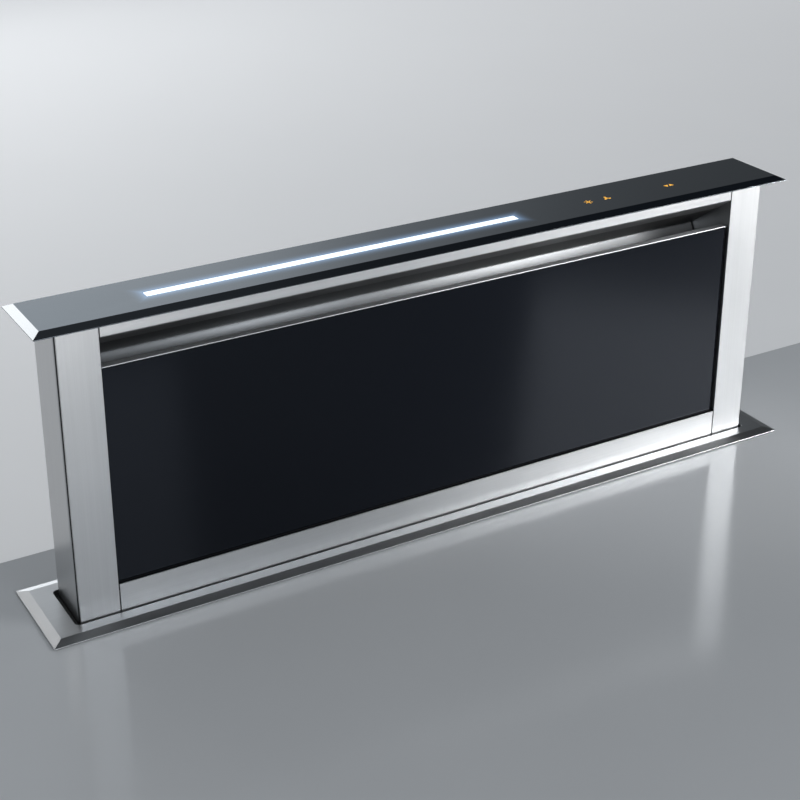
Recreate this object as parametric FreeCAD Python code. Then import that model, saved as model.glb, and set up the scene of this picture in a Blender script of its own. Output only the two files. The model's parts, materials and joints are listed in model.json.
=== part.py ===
import FreeCAD, Part
import math
import os

# Worktop downdraft hood, raised. Millimetres, +Z up, front towards -Y.
# The origin is the centre of the worktop cut-out, on the worktop's surface.

# Worktop flange and its seals
FLANGE_W = 880.0
FLANGE_D = 114.0
FLANGE_T = 4.0
FLANGE_BEVEL = 10.0
FLANGE_LIP = 1.0
FLANGE_OVER_X = 17.0
FLANGE_OVER_Y = 11.0
SEAL_T = 1.0
SEAL_INSET = 1.5
CUTOUT_GAP = 3.0
SLOT_GAP_X = 5.5
SLOT_GAP_Y = 2.0
SLOT_R = 5.0
GASKET_T = 2.0
GASKET_GAP = 0.8

# Rising tower
TOWER_RISE = 309.0
TOWER_SUNK = 160.0
TOWER_GAP_X = 18.0
TOWER_GAP_Y = 13.5
CAP_REST = 1.0
SHEET = 1.2
BEND_R = 0.8
SEAM = 1.0
FIT_GAP = 0.3
POST_W = 40.0
SIDE_SHADOW = 6.0
SIDE_RECESS = 2.8

# Glass cap with its light strip and touch field
CAP_SIDE = 24.0
CAP_FRONT = 14.0
CAP_BACK = 9.0
CAP_T = 5.0
CAP_BEVEL = 8.4
CAP_LIP = 1.0
CARRIER_DROP = 9.0
LIGHT_INSET = 56.0
LIGHT_W = 10.0
LIGHT_SET_BACK = 26.0
LIGHT_SHOULDER = 2.0
LIGHT_DEPTH = 5.0
BOARD_T = 1.6
TOUCH_INSET = 115.0
TOUCH_SPACE = 77.0
TOUCH_W = 150.0
TOUCH_D = 16.0

# Intake gap: top rail, lapped ceiling sheet
INTAKE_H = 31.0
TOP_RAIL_H = 16.0
RAIL_TOP_RETURN = 9.0
LAP_DEPTH = 20.0
LAP_OVER = 8.0
CEILING_DROP = 48.0
CEILING_FLANGE = 12.0
LOWER_RAIL_Z = 35.0

# Tilting front panel
PANEL_RECESS = 4.2
PANEL_GAP = 1.2
GLASS_T = 4.0
FRAME_DEPTH = 3.0
TRIM_T = 1.2
TRIM_GAP = 0.8
TRIM_PROUD = 0.5
TRIM_LEG = 9.0
HINGE_BAR_H = 10.0
HINGE_BAR_GAP = 9.0
PIVOT_SET_BACK = 2.3
PIVOT_R = 2.5
PIVOT_FIT = 0.05
BUSH_SIDE = 11.0
BUSH_T = 6.0
CATCH_W = 8.0
CATCH_H = 14.0
CATCH_DROP = 10.0

# Grease filter cassettes
FILTER_T = 9.0
FILTER_SET_BACK = 10.3
FILTER_RISE = 11.0
FILTER_BACK_GAP = 7.3
FILTER_DROP = 40.0
FILTER_GAP = 1.0
FILTER_BORDER = 14.0
GROOVE_DEPTH = 5.0
MESH_T = 0.8
MESH_PITCH = 16.0
TAB_W = 40.0
TAB_H = 14.0
LEDGE_BACK = 14.0
LEDGE_FRONT = 8.0

# Sunk casing
CASING_H = 660.0
CASING_RETURN = 15.0
PLATE_RISE = 160.0
FLOOR_RIM = 15.0
BASE_RIM = 12.0
BASE_BORDER = 14.0
BASE_BAYS = 3

# Guides, racks and lift drive
RAIL_W = 20.0
RAIL_DEPTH = 10.0
RAIL_WALL = 2.0
SHOE_L = 40.0
SHOE_LEAD = 3.5
SHOE_HIGH_Z = -40.0
SHOE_RISE = 35.0
GUIDE_RUN_OUT = 7.0
GEAR_MODULE = 3.0
GEAR_TEETH = 14
PRESSURE_DEG = 20.0
TOOTH_TIP = 2.4
TOOTH_ROOT = 3.0
MESH_CLEAR = 0.12
RACK_W = 10.0
RACK_CHAMFER = 1.0
RACK_SPARE_TEETH = 2
PINION_W = 8.0
PINION_GAP = 0.9
PINION_ROOM = 1.6
SHAFT_RISE = 40.0
SHAFT_R = 5.0
SHAFT_FIT = 0.05
SHAFT_PASS = 18.0
BEARING_SIDE = 32.0
BEARING_T = 12.0
GEARBOX_INSET = 115.0
GEARBOX_W = 64.0
GEARBOX_FRONT_GAP = 2.6
GEARBOX_BACK_GAP = 6.0
GEARBOX_UP = 35.0
GEARBOX_CHAMFER = 6.0
LIFT_MOTOR_R = 19.0
LIFT_MOTOR_L = 100.0
SENSOR_W = 6.0
SENSOR_L = 20.0

# Blower: scroll drawn from four centres, wheel, motor
WHEEL_X = 20.0
WHEEL_RISE = 230.0
WHEEL_R = 90.0
BLADE_DEPTH = 16.0
BLADE_EDGE = 1.5
BLADE_SWEEP = 50.0
BLADE_COUNT = 16
BLADE_T = 1.2
WHEEL_W = 82.0
WHEEL_PLATE_T = 2.0
RIM_LIP = 1.5
SCROLL_STEP = 25.0
TONGUE_GAP = 9.5
TONGUE_RISE = 20.0
OUTLET_REACH = 130.0
WHEEL_GAP = 10.0
WHEEL_BACK_GAP = 8.0
MOTOR_R = 52.0
MOTOR_L = 58.0
MOTOR_FLANGE_EDGE = 6.0
MOTOR_FLANGE_T = 4.0
MOTOR_RIBS = 8
MOTOR_RIB_H = 5.0
MOTOR_RIB_W = 3.0
MOTOR_SHAFT_R = 4.0
MOTOR_SHAFT_IN = 14.0
CHEEK_WINDOW = 52.0
BORE_PLAY = 0.05

# Outlet, duct spigot and non-return flaps
DUCT_R = 74.5
DUCT_WALL = 1.5
DUCT_L = 60.0
DUCT_STAND_OFF = 11.0
TRANSITION_L = 90.0
CORNER_BENDS = 6
FLAP_SET_IN = 14.0
FLAP_T = 1.5
FLAP_EDGE_GAP = 1.5
FLAP_PIN_R = 2.0
FLAP_FIT = 0.05
KNUCKLE_R = 4.0
KNUCKLE_GAP = 0.6
KNUCKLE_COUNT = 2

# Electronics, gland, worktop brackets and feet
BOX_INSET = 123.0
BOX_W = 190.0
BOX_H = 130.0
BOX_TOP_Z = -110.0
BOX_DEPTH = 45.0
BOX_WALL = 1.5
COVER_LAP = 12.0
GLAND_INSET = 40.0
GLAND_BORE_R = 4.5
GLAND_R = 8.0
GLAND_FIT = 0.1
GLAND_NUT_R = 12.0
GLAND_L = 26.0
GLAND_NUT_T = 6.0
WORKTOP_T = 30.0
BRACKET_INSET = 123.0
BRACKET_W = 40.0
BRACKET_LEG = 35.0
BRACKET_ARM = 30.0
BRACKET_T = 2.0
BRACKET_SLOT_W = 6.0
BRACKET_SLOT_L = 16.0
FOOT_INSET = 33.0
FOOT_W = 50.0
FOOT_H = 60.0
FOOT_REACH = 36.0
FOOT_T = 2.0
FOOT_BOLT_R = 3.0
FOOT_BOLT_OUT = 21.6

# Heights, faces and lines that several pieces share
CASING_W = FLANGE_W - 2 * FLANGE_OVER_X
CASING_D = FLANGE_D - 2 * FLANGE_OVER_Y
BODY_W = CASING_W - 2 * TOWER_GAP_X
BODY_D = CASING_D - 2 * TOWER_GAP_Y
HALF_W = BODY_W / 2
FRONT_Y = -BODY_D / 2
BACK_Y = BODY_D / 2
INNER_FRONT_Y = FRONT_Y + SHEET
INNER_BACK_Y = BACK_Y - SHEET
POST_INNER_X = HALF_W - POST_W
POST_WEB_X = HALF_W - SIDE_RECESS
FLANGE_TOP_Z = SEAL_T + FLANGE_T
LIFT_TRAVEL = TOWER_RISE - FLANGE_TOP_Z - CAP_REST
CASING_HALF_W = CASING_W / 2
CASING_HALF_D = CASING_D / 2
WALL_X = CASING_HALF_W - SHEET
REAR_WALL_Y = CASING_HALF_D - SHEET
CASING_FRONT_Y = -CASING_HALF_D - SHEET
SHOE_TIP_X = WALL_X - RAIL_WALL - FIT_GAP
SHOE_LOW_Z = -TOWER_SUNK + SHOE_RISE
PITCH_R = GEAR_MODULE * GEAR_TEETH / 2
SHAFT_Y = INNER_BACK_Y - FIT_GAP - BEARING_SIDE / 2
SHAFT_Z = -TOWER_SUNK + SHAFT_RISE
RACK_PITCH_Y = SHAFT_Y + PITCH_R + MESH_CLEAR
RAIL_Y = SHAFT_Y - PITCH_R - TOOTH_TIP - PINION_ROOM - RAIL_W / 2
GEARBOX_X = POST_INNER_X - GEARBOX_INSET
GEARBOX_FRONT_Y = INNER_FRONT_Y + GEARBOX_FRONT_GAP
LIGHT_LEFT = -POST_INNER_X + LIGHT_INSET
TOUCH_X = POST_INNER_X - TOUCH_INSET
LIGHT_RIGHT = TOUCH_X - TOUCH_W / 2 - TOUCH_SPACE
LIGHT_Y = FRONT_Y + LIGHT_SET_BACK
RAIL_TOP_EDGE = TOWER_RISE - TOP_RAIL_H
PANEL_TOP_Z = RAIL_TOP_EDGE - INTAKE_H
SLOPE = CEILING_DROP / BODY_D
GLASS_FRONT_Y = FRONT_Y + PANEL_RECESS
GLASS_BACK_Y = GLASS_FRONT_Y + GLASS_T
PANEL_BACK_Y = GLASS_BACK_Y + FRAME_DEPTH
PANEL_HALF_W = POST_INNER_X - PANEL_GAP
FILTER_FOOT_Y = PANEL_BACK_Y + FILTER_SET_BACK
FILTER_FOOT_Z = LOWER_RAIL_Z + FILTER_RISE
FILTER_HEAD_Y = INNER_BACK_Y - FILTER_BACK_GAP
FILTER_HEAD_Z = PANEL_TOP_Z - FILTER_DROP
HINGE_BAR_Z = LOWER_RAIL_Z - HINGE_BAR_GAP
GLASS_FOOT_Z = HINGE_BAR_Z + HINGE_BAR_H
PIVOT_Y = GLASS_FRONT_Y + PIVOT_SET_BACK
PIVOT_Z = HINGE_BAR_Z + HINGE_BAR_H / 2
WHEEL_Z = -CASING_H + WHEEL_RISE
FRONT_SPLIT = -WHEEL_Z - PLATE_RISE
INLET_R = WHEEL_R - BLADE_DEPTH
SCROLL_R = WHEEL_R + TONGUE_GAP + SCROLL_STEP / 2
SCROLL_W = WHEEL_GAP + WHEEL_W + WHEEL_BACK_GAP
MOTOR_FLANGE = 2 * (MOTOR_R + MOTOR_FLANGE_EDGE)
CHEEK_Y = CASING_FRONT_Y - SCROLL_W
MOTOR_FACE_Y = CHEEK_Y - SHEET
OUTLET_FLOOR = SCROLL_R + 3 * SCROLL_STEP + SCROLL_STEP / 2
OUTLET_ROOF = SCROLL_R - SCROLL_STEP / 2 - TONGUE_RISE
OUTLET_X = WHEEL_X + OUTLET_REACH
DUCT_X = OUTLET_X + TRANSITION_L
DUCT_Y = CASING_FRONT_Y - DUCT_STAND_OFF - DUCT_R
DUCT_Z = WHEEL_Z - (OUTLET_FLOOR + OUTLET_ROOF) / 2
FLAP_X = DUCT_X + FLAP_SET_IN
BOX_X = -CASING_HALF_W + BOX_INSET
BOX_FRONT_Y = CASING_FRONT_Y - BOX_DEPTH
BRACKET_X = CASING_HALF_W - BRACKET_INSET
FOOT_X = CASING_HALF_W - FOOT_INSET

X_AXIS = FreeCAD.Vector(1, 0, 0)
Y_AXIS = FreeCAD.Vector(0, 1, 0)
Z_AXIS = FreeCAD.Vector(0, 0, 1)
ON_FACE = 0.01


def box(x0, x1, y0, y1, z0, z1):
    corner = FreeCAD.Vector(x0, y0, z0)
    return Part.makeBox(x1 - x0, y1 - y0, z1 - z0, corner)


def rod(radius, start, axis, length):
    return Part.makeCylinder(radius, length, start, axis)


def point(plane, level, u, v):
    """A point at (u, v) on the plane yz or xy, at the given level along the third axis."""
    if plane == "yz":
        return FreeCAD.Vector(level, u, v)
    return FreeCAD.Vector(u, v, level)


def normal(plane):
    return {"yz": X_AXIS, "xy": Z_AXIS}[plane]


def prism(outline, plane, start, end):
    """A straight-sided outline on a plane, extruded from one level to another."""
    corners = [point(plane, start, u, v) for u, v in outline]
    face = Part.Face(Part.makePolygon(corners + corners[:1]))
    return face.extrude(normal(plane) * (end - start))


def folded(line, thickness, plane, start, end):
    """Bent sheet: a line of flats, thickened to its left, with a rounded bend at each corner."""
    near, far = [], []
    for i, (u, v) in enumerate(line):
        corner = FreeCAD.Vector(u, v, 0)
        ways = []
        if i > 0:
            ways.append((corner - FreeCAD.Vector(*line[i - 1], 0)).normalize())
        if i < len(line) - 1:
            ways.append((FreeCAD.Vector(*line[i + 1], 0) - corner).normalize())
        if len(ways) == 1:
            left = Z_AXIS.cross(ways[0])
            near.append([corner])
            far.append([corner + left * thickness])
            continue
        turn = math.atan2(ways[0].cross(ways[1]).z, ways[0].dot(ways[1]))
        side = math.copysign(1, turn)
        radius = BEND_R + thickness if turn > 0 else BEND_R
        reach = radius * math.tan(abs(turn) / 2)
        first = corner - ways[0] * reach
        last = corner + ways[1] * reach
        centre = first + Z_AXIS.cross(ways[0]) * (radius * side)
        outward = (corner - centre).normalize()
        for faces, offset in ((near, 0.0), (far, thickness)):
            bend = radius - side * offset
            a = first + Z_AXIS.cross(ways[0]) * offset
            b = last + Z_AXIS.cross(ways[1]) * offset
            faces.append([a, centre + outward * bend, b])
    edges = strip_edges(near, plane, start)
    back = strip_edges(far, plane, start)
    ends = [(near[0][0], far[0][0]), (near[-1][-1], far[-1][-1])]
    edges += back + [flat_edge(a, b, plane, start) for a, b in ends]
    face = Part.Face(Part.Wire(Part.__sortEdges__(edges)))
    return face.extrude(normal(plane) * (end - start))


def flat_edge(a, b, plane, level):
    return Part.LineSegment(point(plane, level, a.x, a.y), point(plane, level, b.x, b.y)).toShape()


def strip_edges(stations, plane, level):
    """Lines and bend arcs along one face of a folded sheet."""
    edges = []
    for i, station in enumerate(stations):
        if i > 0:
            edges.append(flat_edge(stations[i - 1][-1], station[0], plane, level))
        if len(station) == 3:
            a, m, b = [point(plane, level, p.x, p.y) for p in station]
            edges.append(Part.Arc(a, m, b).toShape())
    return edges


def pan(x0, x1, y0, y1, z0, z1, wall):
    """A tray with a floor at z0 and four upturned rims."""
    outer = box(x0, x1, y0, y1, z0, z1)
    return outer.cut(box(x0 + wall, x1 - wall, y0 + wall, y1 - wall, z0 + wall, z1))


def bevelled_slab(x0, x1, y0, y1, z0, lip, z1, bevel):
    """A plate with an upright lip and a wide bevel up to its top face."""
    foot = box(x0, x1, y0, y1, z0, z0 + lip)
    top = Part.makeWedge(
        x0, z0 + lip, -y1, -y1 + bevel, x0 + bevel, x1, z1, -y0, -y0 - bevel, x1 - bevel
    )
    top.rotate(FreeCAD.Vector(), X_AXIS, 90)
    return foot.fuse(top).removeSplitter()


def upright_edges(block):
    return [e for e in block.Edges if e.BoundBox.ZLength > ON_FACE]


def mirrored(shape):
    return shape.mirror(FreeCAD.Vector(), X_AXIS)


# Flange and seals


def trim_flange():
    slab = bevelled_slab(
        -FLANGE_W / 2, FLANGE_W / 2, -FLANGE_D / 2, FLANGE_D / 2,
        SEAL_T, FLANGE_LIP, FLANGE_TOP_Z, FLANGE_BEVEL,
    )
    half_x = HALF_W + SLOT_GAP_X
    half_y = BACK_Y + SLOT_GAP_Y
    block = box(-half_x, half_x, -half_y, half_y, SEAL_T, FLANGE_TOP_Z)
    return slab.cut(block.makeFillet(SLOT_R, upright_edges(block)))


def flange_seal():
    half_x = FLANGE_W / 2 - SEAL_INSET
    half_y = FLANGE_D / 2 - SEAL_INSET
    hole_x = CASING_HALF_W + CUTOUT_GAP
    hole_y = CASING_HALF_D + CUTOUT_GAP
    ring = box(-half_x, half_x, -half_y, half_y, 0, SEAL_T)
    return ring.cut(box(-hole_x, hole_x, -hole_y, hole_y, 0, SEAL_T))


def slot_gasket():
    half_x = WALL_X - FIT_GAP
    half_y = REAR_WALL_Y - FIT_GAP
    ring = box(-half_x, half_x, -half_y, half_y, SEAL_T - GASKET_T, SEAL_T)
    hole_x = HALF_W + GASKET_GAP
    hole_y = BACK_Y + GASKET_GAP
    return ring.cut(box(-hole_x, hole_x, -hole_y, hole_y, SEAL_T - GASKET_T, SEAL_T))


# Sunk casing


def casing_rear():
    lip = CASING_HALF_W - CASING_RETURN
    line = [
        (-lip, -CASING_HALF_D),
        (-CASING_HALF_W, -CASING_HALF_D),
        (-CASING_HALF_W, CASING_HALF_D),
        (CASING_HALF_W, CASING_HALF_D),
        (CASING_HALF_W, -CASING_HALF_D),
        (lip, -CASING_HALF_D),
    ]
    return folded(line[::-1], SHEET, "xy", -CASING_H, SEAL_T)


def casing_front():
    return box(
        -CASING_HALF_W, CASING_HALF_W, CASING_FRONT_Y, -CASING_HALF_D, -FRONT_SPLIT + SEAM, SEAL_T
    )


def blower_plate():
    """Lower front sheet, with the round inlet of the wheel."""
    sheet = box(
        -CASING_HALF_W, CASING_HALF_W, CASING_FRONT_Y, -CASING_HALF_D, -CASING_H, -FRONT_SPLIT
    )
    return sheet.cut(rod(INLET_R, FreeCAD.Vector(WHEEL_X, CASING_FRONT_Y, WHEEL_Z), Y_AXIS, SHEET))


def casing_floor():
    half_x = WALL_X - FIT_GAP
    half_y = REAR_WALL_Y - FIT_GAP
    return pan(-half_x, half_x, -half_y, half_y, -CASING_H, -CASING_H + FLOOR_RIM, SHEET)


# Guides and racks


def guide_span():
    top = SHOE_HIGH_Z + SHOE_L / 2 + GUIDE_RUN_OUT
    foot = SHOE_LOW_Z - SHOE_L / 2 - LIFT_TRAVEL - GUIDE_RUN_OUT
    return foot, top


def guide_rail():
    foot, top = guide_span()
    mouth_x = WALL_X - RAIL_DEPTH
    body = box(mouth_x, WALL_X, RAIL_Y - RAIL_W / 2, RAIL_Y + RAIL_W / 2, foot, top)
    track = RAIL_W / 2 - RAIL_WALL
    return body.cut(box(mouth_x, WALL_X - RAIL_WALL, RAIL_Y - track, RAIL_Y + track, foot, top))


def guide_shoes():
    half = RAIL_W / 2 - RAIL_WALL - FIT_GAP
    shoes = []
    for middle in (SHOE_HIGH_Z, SHOE_LOW_Z):
        low = middle - SHOE_L / 2
        block = box(HALF_W, SHOE_TIP_X, RAIL_Y - half, RAIL_Y + half, low, low + SHOE_L)
        ends = [e for e in block.Edges if e.BoundBox.XMin > SHOE_TIP_X - ON_FACE]
        lead = [e for e in ends if e.BoundBox.YLength > ON_FACE]
        shoe = block.makeChamfer(SHOE_LEAD, lead)
        shoes += [shoe, mirrored(shoe)]
    return Part.makeCompound(shoes)


def rack():
    """Toothed bar in the corner of the casing, with a tooth space level with the raised pinion."""
    pitch = math.pi * GEAR_MODULE
    below = math.ceil(LIFT_TRAVEL / pitch) + RACK_SPARE_TEETH
    lean = math.tan(math.radians(PRESSURE_DEG))
    tip_y = RACK_PITCH_Y - TOOTH_TIP
    root_y = RACK_PITCH_Y + TOOTH_ROOT
    half_tip = pitch / 4 - TOOTH_TIP * lean
    half_root = pitch / 4 + TOOTH_ROOT * lean
    outline = []
    for i in range(-below, RACK_SPARE_TEETH):
        middle = SHAFT_Z + (i + 0.5) * pitch
        outline += [
            (root_y, middle - half_root),
            (tip_y, middle - half_tip),
            (tip_y, middle + half_tip),
            (root_y, middle + half_root),
        ]
    outline += [(REAR_WALL_Y, outline[-1][1]), (REAR_WALL_Y, outline[0][1])]
    bar = prism(outline, "yz", WALL_X - RACK_W, WALL_X)
    back = [e for e in bar.Edges if e.BoundBox.YMin > REAR_WALL_Y - ON_FACE]
    corner = [e for e in back if e.BoundBox.XMin > WALL_X - ON_FACE]
    return bar.makeChamfer(RACK_CHAMFER, corner)


def end_sensors():
    """Two sealed blocks on the left wall, which sense the carriage at either end of its travel."""
    foot, top = guide_span()
    front = RAIL_Y - RAIL_W / 2 - FIT_GAP
    blocks = []
    for low in (top - SENSOR_L, foot):
        blocks.append(box(-WALL_X, -WALL_X + SENSOR_W, front - SENSOR_W, front, low, low + SENSOR_L))
    return Part.makeCompound(blocks)


# Blower


def scroll_face(level, grow):
    """The scroll's outline from four quarter arcs about a small square, joined to its outlet."""
    quarter = math.pi / 2
    half = SCROLL_STEP / 2
    corners = [(half, half), (-half, half), (-half, -half), (half, -half)]
    arcs = []
    for i, (u, v) in enumerate(corners):
        radius = SCROLL_R + i * SCROLL_STEP + grow
        start = (i - 1) * quarter
        spots = []
        for angle in (start, start + quarter / 2, start + quarter):
            x = WHEEL_X + u + radius * math.cos(angle)
            z = WHEEL_Z + v + radius * math.sin(angle)
            spots.append(FreeCAD.Vector(x, level, z))
        arcs.append(Part.Arc(*spots).toShape())
    first = arcs[0].valueAt(arcs[0].FirstParameter)
    last = arcs[-1].valueAt(arcs[-1].LastParameter)
    edges = arcs + [Part.LineSegment(last, first).toShape()]
    return Part.Face(Part.Wire(Part.__sortEdges__(edges)))


def scroll_block(back_y, front_y, grow):
    """Solid scroll with its outlet, between two levels."""
    depth = FreeCAD.Vector(0, front_y - back_y, 0)
    spiral = scroll_face(back_y, grow).extrude(depth)
    outlet = box(
        WHEEL_X + SCROLL_STEP / 2, OUTLET_X, front_y, back_y,
        WHEEL_Z - OUTLET_FLOOR - grow, WHEEL_Z - OUTLET_ROOF + grow,
    )
    return spiral.fuse(outlet).removeSplitter()


def volute_housing():
    """Scroll wall and cheek in one, open to the blower plate, with a window for the motor's nose."""
    shell = scroll_block(CASING_FRONT_Y, MOTOR_FACE_Y, SHEET)
    shell = shell.cut(scroll_block(CASING_FRONT_Y, CHEEK_Y, 0))
    half = CHEEK_WINDOW / 2
    return shell.cut(box(
        WHEEL_X - half, WHEEL_X + half, MOTOR_FACE_Y, CHEEK_Y, WHEEL_Z - half, WHEEL_Z + half
    ))


def turned(outline):
    """A solid turned about the wheel's axis from (radius, distance in front of the motor face)."""
    spots = [FreeCAD.Vector(WHEEL_X + r, MOTOR_FACE_Y + d, WHEEL_Z) for r, d in outline]
    face = Part.Face(Part.makePolygon(spots + spots[:1]))
    return face.revolve(FreeCAD.Vector(WHEEL_X, 0, WHEEL_Z), Y_AXIS, 360)


def blower_motor():
    """Motor can with a square flange on the cheek and cooling ribs."""
    half = MOTOR_FLANGE / 2
    flange = box(
        WHEEL_X - half, WHEEL_X + half, MOTOR_FACE_Y - MOTOR_FLANGE_T, MOTOR_FACE_Y,
        WHEEL_Z - half, WHEEL_Z + half,
    )
    seat = FreeCAD.Vector(WHEEL_X, MOTOR_FACE_Y, WHEEL_Z)
    can = rod(MOTOR_R, seat, Y_AXIS * -1, MOTOR_L)
    rib = box(
        WHEEL_X + MOTOR_R - MOTOR_RIB_W, WHEEL_X + MOTOR_R + MOTOR_RIB_H,
        MOTOR_FACE_Y - MOTOR_L, MOTOR_FACE_Y - MOTOR_FLANGE_T,
        WHEEL_Z - MOTOR_RIB_W / 2, WHEEL_Z + MOTOR_RIB_W / 2,
    )
    ribs = []
    for i in range(MOTOR_RIBS):
        copy = rib.copy()
        copy.rotate(FreeCAD.Vector(WHEEL_X, 0, WHEEL_Z), Y_AXIS, 360 / MOTOR_RIBS * i)
        ribs.append(copy)
    bore = rod(MOTOR_SHAFT_R + BORE_PLAY, seat, Y_AXIS * -1, MOTOR_SHAFT_IN + FIT_GAP)
    return can.multiFuse([flange] + ribs).removeSplitter().cut(bore)


def blade_curve():
    """Radius of the arc that leaves the inlet circle radially and ends just inside the wheel's edge."""
    sweep = math.radians(BLADE_SWEEP)
    tip_r = WHEEL_R - BLADE_EDGE
    chord = 2 - 2 * math.cos(sweep)
    reach = INLET_R * math.sin(sweep)
    return (math.sqrt(reach ** 2 + chord * (tip_r ** 2 - INLET_R ** 2)) - reach) / chord


def wheel_blade():
    """One forward-leaning blade, a strip bent once along its middle."""
    level = wheel_back_y() - WHEEL_PLATE_T
    curve = blade_curve()

    def at(radius, sweep):
        angle = math.radians(sweep)
        x = WHEEL_X + INLET_R + radius * math.sin(angle)
        return FreeCAD.Vector(x, level, WHEEL_Z + curve - radius * math.cos(angle))

    bends = (0, BLADE_SWEEP / 2, BLADE_SWEEP)
    front = [at(curve - BLADE_T / 2, sweep) for sweep in bends]
    back = [at(curve + BLADE_T / 2, sweep) for sweep in bends[::-1]]
    face = Part.Face(Part.makePolygon(front + back + front[:1]))
    return face.extrude(FreeCAD.Vector(0, 2 * WHEEL_PLATE_T - WHEEL_W, 0))


def wheel_back_y():
    """The wheel's inlet side, clear of the blower plate."""
    return CASING_FRONT_Y - WHEEL_GAP


def impeller():
    """Bladed wheel: blades between a rim ring and a hub plate, on the motor's shaft."""
    reach = wheel_back_y() - WHEEL_W - MOTOR_FACE_Y
    rim = wheel_back_y() - MOTOR_FACE_Y
    hub = turned([
        (0, -MOTOR_SHAFT_IN),
        (MOTOR_SHAFT_R, -MOTOR_SHAFT_IN),
        (MOTOR_SHAFT_R, reach),
        (WHEEL_R, reach),
        (WHEEL_R, reach + WHEEL_PLATE_T),
        (0, reach + WHEEL_PLATE_T),
    ])
    ring = turned([
        (INLET_R - RIM_LIP, rim - WHEEL_PLATE_T),
        (WHEEL_R, rim - WHEEL_PLATE_T),
        (WHEEL_R, rim),
        (INLET_R - RIM_LIP, rim),
    ])
    blade = wheel_blade()
    blades = []
    for i in range(BLADE_COUNT):
        copy = blade.copy()
        copy.rotate(FreeCAD.Vector(WHEEL_X, 0, WHEEL_Z), Y_AXIS, 360 / BLADE_COUNT * (i + 0.5))
        blades.append(copy)
    return hub.multiFuse([ring] + blades)


# Outlet, spigot and flaps


def transition_block(inset, radius):
    """Square-to-round solid of flats: bend lines fan out from each corner of the scroll's mouth."""
    back = CASING_FRONT_Y - inset
    front = CHEEK_Y + inset
    low = WHEEL_Z - OUTLET_FLOOR + inset
    high = WHEEL_Z - OUTLET_ROOF - inset
    mouth = [(back, high), (front, high), (front, low), (back, low)]
    corners = [FreeCAD.Vector(OUTLET_X, y, z) for y, z in mouth]
    ring = []
    for i in range(4 * CORNER_BENDS):
        angle = math.radians(90 * i / CORNER_BENDS)
        y = DUCT_Y + radius * math.cos(angle)
        ring.append(FreeCAD.Vector(DUCT_X, y, DUCT_Z + radius * math.sin(angle)))
    outlines = [corners, ring]
    for i in range(4):
        fan = [ring[(i * CORNER_BENDS + k) % len(ring)] for k in range(CORNER_BENDS + 1)]
        outlines += [[corners[i], a, b] for a, b in zip(fan, fan[1:])]
        outlines.append([corners[i], corners[(i + 1) % 4], fan[-1]])
    flats = [Part.Face(Part.makePolygon(spots + spots[:1])) for spots in outlines]
    return Part.makeSolid(Part.makeShell(flats))


def outlet_transition():
    """Folded duct piece from the scroll's mouth to the spigot."""
    bore_r = DUCT_R - DUCT_WALL
    return transition_block(0, bore_r + SHEET).cut(transition_block(SHEET, bore_r))


def duct_spigot():
    """Plain collar for the duct, on the transition's round end."""
    base = FreeCAD.Vector(DUCT_X, DUCT_Y, DUCT_Z)
    return rod(DUCT_R, base, X_AXIS, DUCT_L).cut(rod(DUCT_R - DUCT_WALL, base, X_AXIS, DUCT_L))


def flap_pin():
    reach = math.sqrt((DUCT_R - DUCT_WALL) ** 2 - FLAP_PIN_R ** 2) - BORE_PLAY
    return rod(FLAP_PIN_R, FreeCAD.Vector(FLAP_X, DUCT_Y, DUCT_Z - reach), Z_AXIS, 2 * reach)


def flap(side):
    """A half-round plate on the spigot's pin; the two flaps' knuckles alternate along it."""
    radius = DUCT_R - DUCT_WALL - FLAP_EDGE_GAP
    disc = rod(radius, FreeCAD.Vector(FLAP_X - FLAP_T / 2, DUCT_Y, DUCT_Z), X_AXIS, FLAP_T)
    root = KNUCKLE_R + KNUCKLE_GAP
    near, far = sorted((DUCT_Y + side * root, DUCT_Y + side * radius))
    solid = disc.common(box(
        FLAP_X - FLAP_T, FLAP_X + FLAP_T, near, far, DUCT_Z - radius, DUCT_Z + radius
    ))
    span = radius * math.sqrt(2) / KNUCKLE_COUNT
    for i in range(KNUCKLE_COUNT):
        if (i % 2 == 0) != (side < 0):
            continue
        low = DUCT_Z + (i - KNUCKLE_COUNT / 2) * span + KNUCKLE_GAP / 2
        high = low + span - KNUCKLE_GAP
        near, far = sorted((DUCT_Y, DUCT_Y + side * root))
        web = box(FLAP_X - FLAP_T / 2, FLAP_X + FLAP_T / 2, near, far, low, high)
        barrel = rod(KNUCKLE_R, FreeCAD.Vector(FLAP_X, DUCT_Y, low), Z_AXIS, high - low)
        solid = solid.fuse([web, barrel])
    foot = FreeCAD.Vector(FLAP_X, DUCT_Y, DUCT_Z - radius)
    return solid.removeSplitter().cut(rod(FLAP_PIN_R + FLAP_FIT, foot, Z_AXIS, 2 * radius))


# Electronics, brackets and feet


def electronics_box():
    """Open-fronted tray on the casing's front sheet, with a hole for the mains gland."""
    half = BOX_W / 2
    low = BOX_TOP_Z - BOX_H
    outer = box(BOX_X - half, BOX_X + half, BOX_FRONT_Y, CASING_FRONT_Y, low, BOX_TOP_Z)
    inner = box(
        BOX_X - half + BOX_WALL, BOX_X + half - BOX_WALL,
        BOX_FRONT_Y, CASING_FRONT_Y - BOX_WALL,
        low + BOX_WALL, BOX_TOP_Z - BOX_WALL,
    )
    return outer.cut(inner).cut(hexagon(GLAND_R + GLAND_FIT, low, low + BOX_WALL))


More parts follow.
